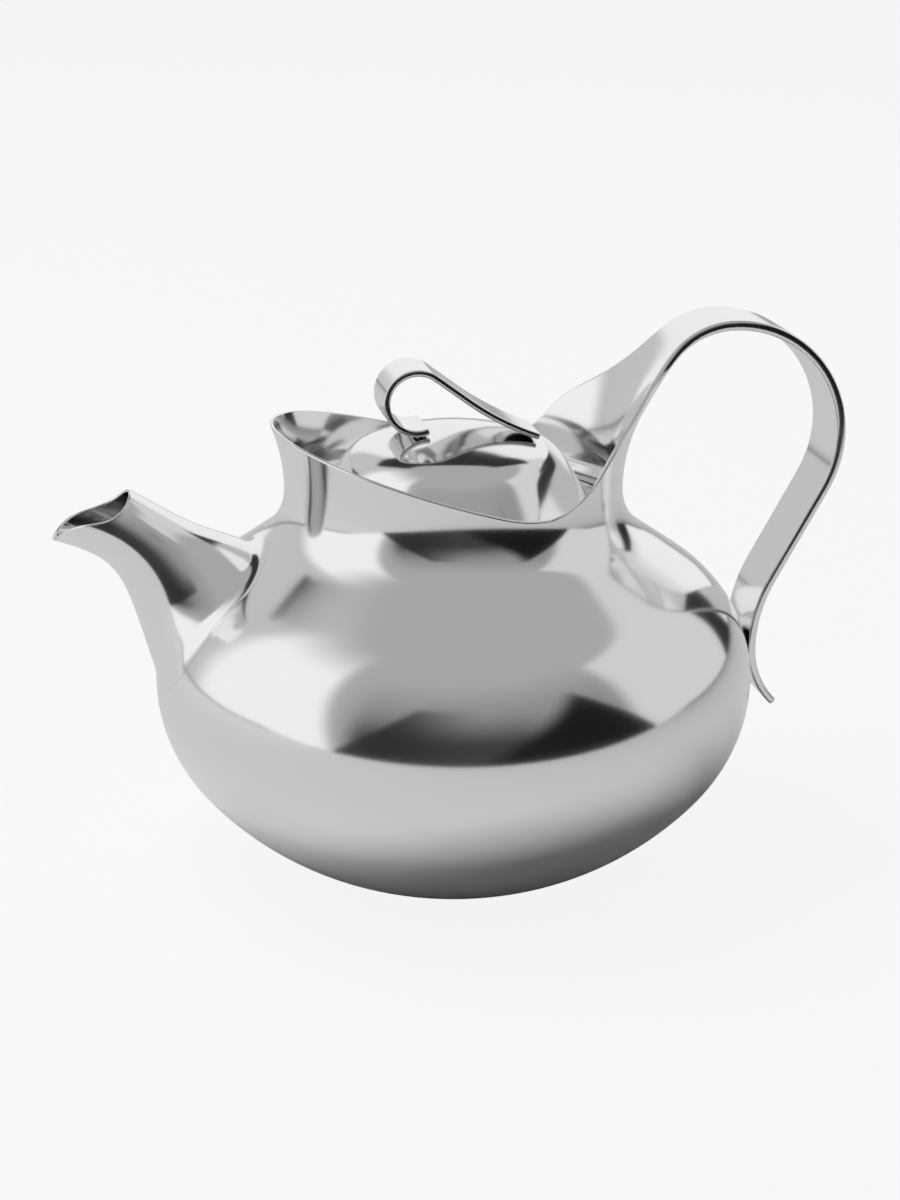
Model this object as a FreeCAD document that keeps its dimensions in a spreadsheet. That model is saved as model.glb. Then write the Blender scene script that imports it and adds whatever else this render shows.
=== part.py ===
import FreeCAD, Part
import math
import os
from types import SimpleNamespace

import Sketcher

# Polished metal teapot, in millimetres. Origin at the centre of the base, +Z up,
# +X towards the handle and -X towards the spout. Every piece is symmetric about the plane Y = 0.

# Driving sizes: name, value, meaning
SIZES = [
    ("wall", 1.0, "sheet thickness of body, spout and lid"),
    ("base_radius", 36.5, "flat base that the pot stands on"),
    ("belly_radius", 85.0, "widest outside radius of the body"),
    ("belly_height", 55.0, "height of the girth seam"),
    ("lower_curve", 44.0, "outside radius of the curve just under the girth"),
    ("lower_turn", 40.0, "degrees that the curve under the girth runs through"),
    ("neck_radius", 47.5, "outside radius of the neck at its waist"),
    ("neck_height", 110.0, "height of the neck's waist, where the handle is joined on"),
    ("neck_fillet", 17.0, "hollow curve from shoulder to neck"),
    ("shoulder_slope", 35.0, "degrees from level of the straight shoulder"),
    ("rim_low_x", 18.0, "where the rim is lowest"),
    ("rim_lip", 1.3, "rim's lowest point above the neck's waist"),
    ("rim_slope", 16.2, "degrees that the rim falls from the spout side"),
    ("rim_bend", 50.0, "side-view radius of the rim's lowest stretch"),
    ("rise_bend", 20.0, "side-view radius where the rim turns up into the handle"),
    ("rise_steepness", 1.82, "rim's climb into the handle, as a multiple of the straight way up"),
    ("handle_rise", 45.7, "handle's upper face above the neck's waist"),
    ("crown_offset", 30.3, "handle's highest point, out from the neck"),
    ("crown_radius", 24.4, "upper face radius on the neck side of the highest point"),
    ("finger_room", 24.2, "clear width between belly and handle"),
    ("fall_length", 30.0, "straight stretch of the falling strap"),
    ("foot_rise", 4.0, "where the strap meets the belly, above the girth"),
    ("tail_radius", 22.6, "outer radius of the curl of the handle's tail"),
    ("tail_turn", 43.5, "degrees of the curl of the handle's tail"),
    ("strap_width", 21.5, "width of the handle's strap"),
    ("strap_thickness", 2.8, "thickness of the handle's strap"),
    ("root_flare", 16.0, "plan radius where the strap widens to its root"),
    ("root_flare_start", 12.0, "where the strap starts to widen, back from the highest point"),
    ("root_flare_turn", 47.5, "degrees that the root's edges spread"),
    ("root_turn", 150.0, "degrees of neck that the handle's root is formed from"),
    ("root_in", 2.7, "spout section inside the body: in from the foot of the shoulder"),
    ("root_down", 12.8, "spout section inside the body: down from the foot of the shoulder"),
    ("root_tilt", 42.0, "spout section inside the body: degrees from level"),
    ("root_half_length", 24.6, "spout section inside the body: half length"),
    ("root_half_width", 32.0, "spout section inside the body: half width"),
    ("sieve_out", 6.0, "spout section at the strainer: out from the foot of the shoulder"),
    ("sieve_down", 1.1, "spout section at the strainer: down from the foot of the shoulder"),
    ("sieve_tilt", 42.0, "spout section at the strainer: degrees from level"),
    ("sieve_radius", 18.6, "spout section at the strainer: outside radius"),
    ("waist_out", 12.7, "spout section half way: out from the foot of the shoulder"),
    ("waist_up", 5.7, "spout section half way: up from the foot of the shoulder"),
    ("waist_tilt", 45.7, "spout section half way: degrees from level"),
    ("waist_radius", 14.1, "spout section half way: outside radius"),
    ("mouth_out", 26.5, "spout section at the mouth: out from the foot of the shoulder"),
    ("mouth_up", 18.2, "spout section at the mouth: up from the foot of the shoulder"),
    ("mouth_tilt", 62.3, "spout section at the mouth: degrees from level"),
    ("mouth_radius", 10.2, "spout section at the mouth: outside radius"),
    ("beak_out", 37.8, "spout section at the beak: out from the foot of the shoulder"),
    ("beak_up", 23.5, "spout section at the beak: up from the foot of the shoulder"),
    ("beak_tilt", 58.0, "spout section at the beak: degrees from level"),
    ("beak_half_length", 10.6, "spout section at the beak: half length"),
    ("beak_half_width", 6.0, "spout section at the beak: half width"),
    ("lip_back_drop", 5.0, "lip's fall just in front of the mouth's back edge"),
    ("lip_front_rise", 4.6, "lip above the beak's underside, near its tip"),
    ("lip_front_back", 6.1, "where the lip has that rise, back from the tip"),
    ("opening_margin", 2.5, "strainer's overlap on the opening in the body"),
    ("sieve_thickness", 0.8, "strainer plate"),
    ("sieve_gap", 0.3, "strainer's edge to the spout's wall"),
    ("sieve_hole", 1.3, "radius of the strainer's holes"),
    ("sieve_pitch", 4.8, "spacing of the strainer's rings of holes"),
    ("seat_drop", 7.0, "lid seat's upper face under the neck's waist"),
    ("seat_ledge", 6.5, "lid seat's inner edge, in from the neck's outside"),
    ("seat_thickness", 1.2, "thickness of the lid seat"),
    ("seat_gap", 0.1, "solder gap from seat to neck wall"),
    ("lid_gap", 0.8, "lid's brim to the neck's inner wall"),
    ("lid_rise", 17.3, "lid's highest point above the neck's waist"),
    ("lid_crown", 72.0, "outside radius of the lid's crown"),
    ("lid_brim", 5.8, "width of the lid's flat brim"),
    ("lid_shoulder", 13.6, "outside radius of the lid's shoulder"),
    ("lid_flank_slope", 58.0, "degrees from level of the lid's flank"),
    ("bezel_gap", 0.4, "lid's locating ring to the seat"),
    ("bezel_depth", 8.0, "depth of the lid's locating ring"),
    ("knob_radius", 9.4, "outside radius of the knob's loop"),
    ("knob_back", 11.6, "knob's loop back from the middle, towards the spout"),
    ("knob_thickness", 1.8, "thickness of the knob's ribbon"),
    ("knob_width", 17.0, "width of the knob's ribbon"),
    ("knob_slope", 37.0, "degrees that the ribbon falls from the loop"),
    ("knob_line", 11.2, "straight stretch of the ribbon"),
    ("knob_tail_radius", 78.0, "upper face radius of the ribbon's tail"),
    ("knob_tail_slope", 20.0, "degrees from level at the ribbon's tail end"),
    ("knob_curl_turn", 22.0, "degrees that the loop runs on past its lowest point"),
    ("stud_radius", 1.5, "knob's fixing studs"),
    ("stud_spacing", 10.0, "distance between the two studs"),
    ("stud_length", 6.0, "length of the studs"),
    ("stud_sink", 0.25, "studs' heads under the lid's surface, filled with solder"),
    ("stud_play", 0.2, "hole radius over stud radius"),
    ("washer_radius", 3.5, "outside radius of the washers"),
    ("washer_thickness", 0.5, "thickness of the washers"),
    ("washer_drop", 2.1, "washers' upper faces under the lid's surface at the studs"),
    ("nut_radius", 3.1, "nuts, middle to corner"),
    ("nut_thickness", 2.4, "thickness of the nuts"),
]

# Reach of cutting outlines past the material that they trim
FAR = 140.0
LOFT_POINTS = 24
HOLES_PER_RING = 6
SIEVE_RINGS = 3
SIDES = (1, -1)

document = FreeCAD.newDocument("teapot")
sheet = document.addObject("Spreadsheet::Sheet", "size")
for row, (name, number, meaning) in enumerate(SIZES, start=1):
    sheet.set(f"A{row}", meaning)
    sheet.set(f"B{row}", str(number))
    sheet.setAlias(f"B{row}", name)
document.recompute()


class Size:
    """A number together with the sheet expression that gives it."""

    def __init__(self, number, text):
        self.number = number
        self.text = text

    def __add__(self, other):
        other = as_size(other)
        return Size(self.number + other.number, f"({self.text} + {other.text})")

    def __sub__(self, other):
        other = as_size(other)
        return Size(self.number - other.number, f"({self.text} - {other.text})")

    def __mul__(self, other):
        other = as_size(other)
        return Size(self.number * other.number, f"({self.text} * {other.text})")

    def __truediv__(self, other):
        other = as_size(other)
        return Size(self.number / other.number, f"({self.text} / {other.text})")

    def __rsub__(self, other):
        return as_size(other) - self

    def __rtruediv__(self, other):
        return as_size(other) / self

    def __neg__(self):
        return as_size(0) - self

    __radd__ = __add__
    __rmul__ = __mul__


def as_size(item):
    return item if isinstance(item, Size) else Size(float(item), str(float(item)))


def root(item):
    return Size(math.sqrt(item.number), f"sqrt({item.text})")


def sine(degrees):
    return Size(math.sin(math.radians(degrees.number)), f"sin({degrees.text})")


def cosine(degrees):
    return Size(math.cos(math.radians(degrees.number)), f"cos({degrees.text})")


def square(item):
    return item * item


s = SimpleNamespace(**{name: Size(float(number), f"size.{name}") for name, number, meaning in SIZES})


def bind(target, prop, item):
    """Set a property's value and tie it to the sheet."""
    target.setExpression(prop, as_size(item).text)


# Bodies, sketches and features
def new_body(label):
    body = document.addObject("PartDesign::Body", label)
    body.Label = label
    return body


def new_sketch(body, name, role, placement=None):
    sketch = body.newObject("Sketcher::SketchObject", name)
    plane = next(item for item in body.Origin.OriginFeatures if item.Role == role)
    sketch.AttachmentSupport = (plane, [""])
    sketch.MapMode = "FlatFace"
    if placement is not None:
        sketch.AttachmentOffset = placement
    return sketch


LINE = None


def arc_between(start, end, radius, turn):
    """Arc of less than half a circle from start to end; turn +1 is counter-clockwise."""
    middle = (start + end) * 0.5
    chord = end - start
    across = FreeCAD.Vector(-chord.y, chord.x, 0) / chord.Length
    height = math.sqrt(max(radius ** 2 - (chord.Length / 2) ** 2, 0.0))
    centre = middle + across * height * turn
    ends = (start, end) if turn > 0 else (end, start)
    angles = [math.atan2(point.y - centre.y, point.x - centre.x) for point in ends]
    circle = Part.Circle(centre, FreeCAD.Vector(0, 0, 1), radius)
    return Part.ArcOfCircle(circle, angles[0], angles[1])


def draw(sketch, path):
    """Closed outline: corners (x, y) alternating with edges, LINE or (radius, turn)."""
    corners = path[0::2]
    edges = path[1::2]
    points = [FreeCAD.Vector(as_size(x).number, as_size(y).number, 0) for x, y in corners]
    joints = []
    for index, edge in enumerate(edges):
        start = points[index]
        end = points[(index + 1) % len(points)]
        if edge is LINE:
            geometry = sketch.addGeometry(Part.LineSegment(start, end))
            joints.append((geometry, 1, 2))
            continue
        radius, turn = edge
        geometry = sketch.addGeometry(arc_between(start, end, as_size(radius).number, turn))
        joints.append((geometry, 1, 2) if turn > 0 else (geometry, 2, 1))
    for index, (geometry, first, last) in enumerate(joints):
        following, next_first, next_last = joints[(index + 1) % len(joints)]
        sketch.addConstraint(Sketcher.Constraint("Coincident", geometry, last, following, next_first))
    for (geometry, first, last), point, (x, y) in zip(joints, points, corners):
        for kind, number, item in (("DistanceX", point.x, x), ("DistanceY", point.y, y)):
            place = sketch.addConstraint(Sketcher.Constraint(kind, -1, 1, geometry, first, number))
            bind(sketch, f"Constraints[{place}]", item)
    for (geometry, first, last), edge in zip(joints, edges):
        if edge is not LINE:
            radius = as_size(edge[0])
            place = sketch.addConstraint(Sketcher.Constraint("Radius", geometry, radius.number))
            bind(sketch, f"Constraints[{place}]", radius)


def draw_circle(sketch, x, y, radius):
    centre = FreeCAD.Vector(as_size(x).number, as_size(y).number, 0)
    number = as_size(radius).number
    geometry = sketch.addGeometry(Part.Circle(centre, FreeCAD.Vector(0, 0, 1), number))
    for kind, amount, item in (("DistanceX", centre.x, x), ("DistanceY", centre.y, y)):
        place = sketch.addConstraint(Sketcher.Constraint(kind, -1, 1, geometry, 3, amount))
        bind(sketch, f"Constraints[{place}]", item)
    place = sketch.addConstraint(Sketcher.Constraint("Radius", geometry, number))
    bind(sketch, f"Constraints[{place}]", radius)


def revolve(body, sketch, angle=None):
    """Turn a side-view sketch about the pot's axis, all round or evenly about the sketch."""
    feature = body.newObject("PartDesign::Revolution", f"{body.Label}_turning")
    feature.Profile = sketch
    feature.ReferenceAxis = (sketch, ["V_Axis"])
    feature.Angle = 360.0
    if angle is not None:
        feature.Midplane = True
        bind(feature, "Angle", angle)
    return feature


def pad(body, sketch, length, both_ways=False):
    feature = body.newObject("PartDesign::Pad", f"{sketch.Label}_pad")
    feature.Profile = sketch
    feature.Midplane = both_ways
    bind(feature, "Length", length)
    return feature


def cut_through(body, sketch):
    """Cut a side-view or plan outline right through the body, to both sides of the sketch."""
    feature = body.newObject("PartDesign::Pocket", f"{sketch.Label}_cut")
    feature.Profile = sketch
    feature.Type = "Length"
    feature.Midplane = True
    feature.Length = 4 * FAR
    return feature


# Body outline: places shared by bowl, upper body, spout, handle and lid
shoulder_in = 1 - sine(s.shoulder_slope)
shoulder_up = cosine(s.shoulder_slope)
curves = (
    (s.neck_height - s.belly_height) * shoulder_up
    - (s.belly_radius - s.neck_radius) * sine(s.shoulder_slope)
) / shoulder_in
belly_curve = curves - s.neck_fillet
girth = (s.belly_radius, s.belly_height)
shoulder_foot = (s.belly_radius - belly_curve * shoulder_in, s.belly_height + belly_curve * shoulder_up)
shoulder_head = (s.neck_radius + s.neck_fillet * shoulder_in, s.neck_height - s.neck_fillet * shoulder_up)
wall_in = s.wall * sine(s.shoulder_slope)
wall_down = s.wall * shoulder_up

# Handle outline: the neck's flare and the strap are one curve
crown_x = s.neck_radius + s.crown_offset
loop_radius = s.belly_radius + s.strap_thickness + s.finger_room - crown_x
handle_top = s.neck_height + s.handle_rise
loop_height = handle_top - loop_radius
under_crown = s.crown_radius - s.strap_thickness
crown_height = handle_top - s.crown_radius
rim_low = s.neck_height + s.rim_lip
rise_tangent = s.rise_steepness * (handle_top - rim_low) / (crown_x - s.rim_low_x)
rise_cosine = 1 / root(1 + square(rise_tangent))
rise_sine = rise_tangent * rise_cosine
rim_fall = sine(s.rim_slope) / cosine(s.rim_slope)
rim_bend_x = s.rim_low_x - s.rim_bend * sine(s.rim_slope)
rim_bend_z = rim_low + s.rim_bend * (1 - cosine(s.rim_slope))


def flare_radius(neck, crown):
    """Radius of the flare that stands upright at the neck's waist and runs into the crown."""
    across = neck - crown_x
    below = s.neck_height - crown_height
    return (square(crown) - square(across) - square(below)) / ((across + crown) * 2)


outer_flare = flare_radius(s.neck_radius, under_crown)
inner_flare = flare_radius(s.neck_radius - s.wall, s.crown_radius)


def flare_at(neck, flare, height):
    return neck + flare - root(square(flare) - square(height - s.neck_height))


def flare_end(neck, flare, crown):
    """Point where the flare passes into the crown."""
    centre_x = neck + flare
    share = crown / (flare - crown)
    return (crown_x + (crown_x - centre_x) * share, crown_height + (crown_height - s.neck_height) * share)


def upper_outline(top):
    """Outside of shoulder and neck, from the girth up to the given height."""
    return [
        girth, (belly_curve, 1),
        shoulder_foot, LINE,
        shoulder_head, (s.neck_fillet, -1),
        (s.neck_radius, s.neck_height), (outer_flare, -1),
        (flare_at(s.neck_radius, outer_flare, top), top),
    ]


# The neck is made up to the rim's height above the belly's edge, then cut along the rim
neck_blank_top = rim_bend_z + (rim_bend_x + s.belly_radius) * rim_fall


def make_lower_bowl():
    """Lower half of the body with the flat base."""
    body = new_body("lower_bowl")
    turn_x = cosine(s.lower_turn)
    turn_z = sine(s.lower_turn)
    curve_x = s.belly_radius - s.lower_curve
    join = (curve_x + s.lower_curve * turn_x, s.belly_height - s.lower_curve * turn_z)
    reach_x = join[0] - s.base_radius
    reach_z = join[1]
    bottom_curve = (square(reach_x) + square(reach_z)) / ((reach_x * turn_x - reach_z * turn_z) * 2)
    centre_x = join[0] - bottom_curve * turn_x
    centre_z = join[1] + bottom_curve * turn_z
    inner_bottom = bottom_curve - s.wall
    inner_base = centre_x + root(square(inner_bottom) - square(centre_z - s.wall))
    sketch = new_sketch(body, "bowl_outline", "XZ_Plane")
    draw(sketch, [
        (0, 0), LINE,
        (s.base_radius, 0), (bottom_curve, 1),
        join, (s.lower_curve, 1),
        girth, LINE,
        (s.belly_radius - s.wall, s.belly_height), (s.lower_curve - s.wall, -1),
        (join[0] - s.wall * turn_x, join[1] + s.wall * turn_z), (inner_bottom, -1),
        (inner_base, s.wall), LINE,
        (0, s.wall), LINE,
    ])
    revolve(body, sketch)
    return body


sieve_x = shoulder_foot[0] + s.sieve_out
sieve_z = shoulder_foot[1] - s.sieve_down


def sieve_placement():
    """Plane of the strainer, square to the spout."""
    position = FreeCAD.Vector(-sieve_x.number, 0, sieve_z.number)
    return FreeCAD.Placement(position, FreeCAD.Rotation(FreeCAD.Vector(0, -1, 0), s.sieve_tilt.number))


def bind_sieve_plane(sketch):
    bind(sketch, "AttachmentOffset.Base.x", -sieve_x)
    bind(sketch, "AttachmentOffset.Base.z", sieve_z)
    bind(sketch, "AttachmentOffset.Rotation.Angle", s.sieve_tilt)


def make_upper_body():
    """Shoulder and neck, with the sweeping rim and the opening behind the spout."""
    body = new_body("upper_body")
    top = neck_blank_top
    inner_neck = s.neck_radius - s.wall
    sketch = new_sketch(body, "shoulder_outline", "XZ_Plane")
    draw(sketch, upper_outline(top) + [
        LINE,
        (flare_at(inner_neck, inner_flare, top), top), (inner_flare, 1),
        (inner_neck, s.neck_height), (s.neck_fillet + s.wall, 1),
        (shoulder_head[0] - wall_in, shoulder_head[1] - wall_down), LINE,
        (shoulder_foot[0] - wall_in, shoulder_foot[1] - wall_down), (belly_curve - s.wall, -1),
        (s.belly_radius - s.wall, s.belly_height), LINE,
    ])
    revolve(body, sketch)

    rim = new_sketch(body, "rim_outline", "XZ_Plane")
    draw(rim, [
        (-FAR, rim_bend_z + (rim_bend_x + FAR) * rim_fall), LINE,
        (rim_bend_x, rim_bend_z), (s.rim_bend, 1),
        (s.rim_low_x, rim_low), LINE,
        (s.rim_low_x, s.neck_height), LINE,
        (FAR, s.neck_height), LINE,
        (FAR, 2 * FAR), LINE,
        (-FAR, 2 * FAR), LINE,
    ])
    cut_through(body, rim)

    hole = new_sketch(body, "spout_opening", "XY_Plane", sieve_placement())
    bind_sieve_plane(hole)
    draw_circle(hole, 0, 0, s.sieve_radius - s.wall - s.opening_margin)
    opening = body.newObject("PartDesign::Pocket", "spout_opening_cut")
    opening.Profile = hole
    bind(opening, "Length", s.sieve_radius + s.neck_fillet)
    return body


def make_handle():
    """Strap handle: a broad root that carries the neck's flare on, a loop and a curled tail."""
    body = new_body("handle_strap")
    inner_neck = s.neck_radius - s.wall
    past_crown = crown_x + s.strap_thickness
    under_top = handle_top - s.strap_thickness
    blank = new_sketch(body, "root_outline", "XZ_Plane")
    draw(blank, [
        (s.neck_radius, s.neck_height), (outer_flare, -1),
        flare_end(s.neck_radius, outer_flare, under_crown), (under_crown, -1),
        (crown_x, under_top), LINE,
        (past_crown, under_top), LINE,
        (past_crown, handle_top), LINE,
        (crown_x, handle_top), (s.crown_radius, 1),
        flare_end(inner_neck, inner_flare, s.crown_radius), (inner_flare, 1),
        (inner_neck, s.neck_height), LINE,
    ])
    revolve(body, blank, s.root_turn)

    climb_x = s.rim_low_x + s.rise_bend * rise_sine
    climb_z = rim_low + s.rise_bend * (1 - rise_cosine)
    far_z = climb_z + FAR * rise_sine
    below = s.neck_height - s.rim_lip
    climb = new_sketch(body, "climb_outline", "XZ_Plane")
    draw(climb, [
        (s.rim_low_x, rim_low), (s.rise_bend, 1),
        (climb_x, climb_z), LINE,
        (climb_x + FAR * rise_cosine, far_z), LINE,
        (-FAR, far_z), LINE,
        (-FAR, below), LINE,
        (s.rim_low_x, below), LINE,
    ])
    cut_through(body, climb)

    half = s.strap_width / 2
    flare_x = crown_x - s.root_flare_start
    bend_x = flare_x - s.root_flare * sine(s.root_flare_turn)
    bend_y = half + s.root_flare * (1 - cosine(s.root_flare_turn))
    far_x = bend_x - FAR * cosine(s.root_flare_turn)
    far_y = bend_y + FAR * sine(s.root_flare_turn)
    edges = new_sketch(body, "root_edges", "XY_Plane")
    for side in SIDES:
        draw(edges, [
            (flare_x, half * side), (s.root_flare, -side),
            (bend_x, bend_y * side), LINE,
            (far_x, far_y * side), LINE,
            (crown_x + FAR, far_y * side), LINE,
            (crown_x + FAR, half * side), LINE,
        ])
    cut_through(body, edges)

    square_end = new_sketch(body, "root_end", "XY_Plane")
    draw(square_end, [
        (crown_x, -FAR), LINE,
        (crown_x + FAR, -FAR), LINE,
        (crown_x + FAR, FAR), LINE,
        (crown_x, FAR), LINE,
    ])
    cut_through(body, square_end)

    loop = new_sketch(body, "loop_outline", "XZ_Plane")
    draw(loop, loop_path())
    pad(body, loop, s.strap_width, both_ways=True)
    return body


def loop_path():
    """Side view of the strap from its highest point round to the tip of the tail."""
    thick = s.strap_thickness
    foot_x = s.belly_radius + thick
    foot_z = s.belly_height + s.foot_rise
    out = foot_x - crown_x
    drop = loop_height - foot_z
    foot_curve = (square(out) + square(drop) - square(s.fall_length) - square(loop_radius)) / (
        (loop_radius - out) * 2
    )
    gap_x = out + foot_curve
    apart = root(square(gap_x) + square(drop))
    near = (loop_radius + foot_curve) / apart
    lean = s.fall_length / apart
    normal = ((gap_x * near + drop * lean) / apart, (gap_x * lean - drop * near) / apart)
    centre_x = foot_x + foot_curve
    inner_loop = loop_radius - thick
    outer_foot = foot_curve + thick
    tail_x = foot_x + s.tail_radius
    tip = (cosine(s.tail_turn), sine(s.tail_turn))
    outer_tail = s.tail_radius + thick
    return [
        (crown_x, handle_top), (loop_radius, -1),
        (crown_x + loop_radius, loop_height), (loop_radius, -1),
        (crown_x + normal[0] * loop_radius, loop_height + normal[1] * loop_radius), LINE,
        (centre_x - normal[0] * foot_curve, foot_z - normal[1] * foot_curve), (foot_curve, 1),
        (foot_x, foot_z), (s.tail_radius, 1),
        (tail_x - tip[0] * s.tail_radius, foot_z - tip[1] * s.tail_radius), LINE,
        (tail_x - tip[0] * outer_tail, foot_z - tip[1] * outer_tail), (outer_tail, -1),
        (foot_x - thick, foot_z), (outer_foot, -1),
        (centre_x - normal[0] * outer_foot, foot_z - normal[1] * outer_foot), LINE,
        (crown_x + normal[0] * inner_loop, loop_height + normal[1] * inner_loop), (inner_loop, 1),
        (crown_x + inner_loop, loop_height), (inner_loop, 1),
        (crown_x, handle_top - thick), LINE,
    ]


def spout_sections():
    """Spout sections from inside the body to past the beak: x, z, tilt, half length, half width."""
    sections = [
        (-s.root_in, -s.root_down, s.root_tilt, s.root_half_length, s.root_half_width),
        (s.sieve_out, -s.sieve_down, s.sieve_tilt, s.sieve_radius, s.sieve_radius),
        (s.waist_out, s.waist_up, s.waist_tilt, s.waist_radius, s.waist_radius),
        (s.mouth_out, s.mouth_up, s.mouth_tilt, s.mouth_radius, s.mouth_radius),
        (s.beak_out, s.beak_up, s.beak_tilt, s.beak_half_length, s.beak_half_width),
    ]
    foot_x, foot_z = shoulder_foot
    return [(foot_x + out, foot_z + up, tilt, length, width) for out, up, tilt, length, width in sections]


def section_point(section, angle, inset):
    """Point of a spout section; angle 0 is its upper end."""
    x, z, tilt, length, width = (item.number for item in section)
    along = (length - inset) * math.cos(angle)
    return FreeCAD.Vector(
        -x + along * math.cos(math.radians(tilt)),
        (width - inset) * math.sin(angle),
        z + along * math.sin(math.radians(tilt)),
    )


def spout_solid(inset):
    wires = []
    for section in spout_sections():
        curve = Part.BSplineCurve()
        angles = [2 * math.pi * step / LOFT_POINTS for step in range(LOFT_POINTS)]
        curve.interpolate([section_point(section, angle, inset) for angle in angles], PeriodicFlag=True)
        wires.append(Part.Wire(curve.toShape()))
    return Part.makeLoft(wires, True)


def lip_cutter():
    """Everything above the lip's side-view line, which runs from the mouth's back edge to the beak."""
    mouth = spout_sections()[-2]
    beak = spout_sections()[-1]
    back = section_point(mouth, 0, 0)
    tip = section_point(beak, math.pi, 0)
    dip = back + FreeCAD.Vector(-s.lip_back_drop.number, 0, -s.lip_back_drop.number)
    front = tip + FreeCAD.Vector(s.lip_front_back.number, 0, s.lip_front_rise.number)
    curve = Part.BSplineCurve()
    curve.interpolate([back, dip, front, tip])
    high = FreeCAD.Vector(0, 0, FAR)
    start = back + FreeCAD.Vector(s.mouth_radius.number, 0, s.mouth_radius.number)
    end = tip - FreeCAD.Vector(s.mouth_radius.number, 0, 0)
    lines = [
        Part.LineSegment(tip, end),
        Part.LineSegment(end, end + high),
        Part.LineSegment(end + high, start + high),
        Part.LineSegment(start + high, start),
        Part.LineSegment(start, back),
    ]
    wire = Part.Wire([curve.toShape()] + [line.toShape() for line in lines])
    face = Part.Face(wire)
    face.translate(FreeCAD.Vector(0, -FAR, 0))
    return face.extrude(FreeCAD.Vector(0, 2 * FAR, 0))


def make_spout(envelope):
    """Tapered spout with a beak, trimmed to the body's outside."""
    shell = spout_solid(0.0).cut(spout_solid(s.wall.number))
    shell = shell.cut(envelope.Shape).cut(lip_cutter())
    spout = document.addObject("Part::Feature", "spout")
    spout.Label = "spout"
    spout.Shape = max(shell.Solids, key=lambda solid: solid.Volume)
    return spout


def make_envelope():
    """Solid outside of shoulder and neck, only used to trim the spout."""
    body = new_body("pot_envelope")
    sketch = new_sketch(body, "envelope_outline", "XZ_Plane")
    draw(sketch, upper_outline(neck_blank_top) + [LINE, (0, neck_blank_top), LINE, (0, s.belly_height), LINE])
    revolve(body, sketch)
    return body


def make_strainer():
    """Pierced plate in the spout's root."""
    body = new_body("spout_strainer")
    plate = new_sketch(body, "plate_outline", "XY_Plane", sieve_placement())
    bind_sieve_plane(plate)
    draw_circle(plate, 0, 0, s.sieve_radius - s.wall - s.sieve_gap)
    for ring in range(SIEVE_RINGS):
        count = max(1, ring * HOLES_PER_RING)
        for step in range(count):
            angle = as_size(360.0 * step / count)
            distance = s.sieve_pitch * ring
            draw_circle(plate, distance * cosine(angle), distance * sine(angle), s.sieve_hole)
    pad(body, plate, s.sieve_thickness, both_ways=True)
    return body


# Lid places
seat_height = s.neck_height - s.seat_drop
brim_radius = s.neck_radius - s.wall - s.lid_gap
lid_top = s.neck_height + s.lid_rise
crown_centre = lid_top - s.lid_crown
flank = (sine(s.lid_flank_slope), cosine(s.lid_flank_slope))
brim_top = seat_height + s.wall
flank_foot = (brim_radius - s.lid_brim, brim_top)
# The shoulder touches the crown and the flank, which ends at the brim
flank_offset = flank[0] * flank_foot[0] + flank[1] * (brim_top - crown_centre) - s.lid_shoulder
crown_reach = s.lid_crown - s.lid_shoulder
flank_run = root(square(crown_reach) - square(flank_offset))
shoulder_centre = (
    flank[0] * flank_offset - flank[1] * flank_run,
    crown_centre + flank[1] * flank_offset + flank[0] * flank_run,
)
seat_inside = s.neck_radius - s.seat_ledge


def make_seat():
    """Ring inside the neck that the lid rests on."""
    body = new_body("lid_seat_ring")
    low = seat_height - s.seat_thickness
    wall_curve = s.neck_fillet + s.wall
    centre_x = s.neck_radius + s.neck_fillet
    outer = centre_x - root(square(wall_curve) - square(s.neck_height - seat_height)) - s.seat_gap
    sketch = new_sketch(body, "seat_outline", "XZ_Plane")
    draw(sketch, [
        (seat_inside, low), LINE,
        (outer, low), LINE,
        (outer, seat_height), LINE,
        (seat_inside, seat_height), LINE,
    ])
    revolve(body, sketch)
    return body


def lid_corner(radius, height):
    """Where a lid face of the given shoulder radius comes down to a height."""
    end_x = shoulder_centre[0] + radius * flank[0]
    end_z = shoulder_centre[1] + radius * flank[1]
    return end_x + (end_z - height) * flank[1] / flank[0]


def lid_curve(inset):
    """Crown end and shoulder end of a lid face."""
    share = (s.lid_crown - inset) / crown_reach
    shoulder = s.lid_shoulder - inset
    return (
        (shoulder_centre[0] * share, crown_centre + (shoulder_centre[1] - crown_centre) * share),
        (shoulder_centre[0] + shoulder * flank[0], shoulder_centre[1] + shoulder * flank[1]),
    )


knob_reach = s.lid_crown + s.knob_radius
knob_centre = (-s.knob_back, crown_centre + root(square(knob_reach) - square(s.knob_back)))
stud_x = -(s.knob_back * s.lid_crown / knob_reach)
stud_foot = crown_centre + root(square(s.lid_crown) - square(stud_x))
stud_top = stud_foot - s.stud_sink


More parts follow.
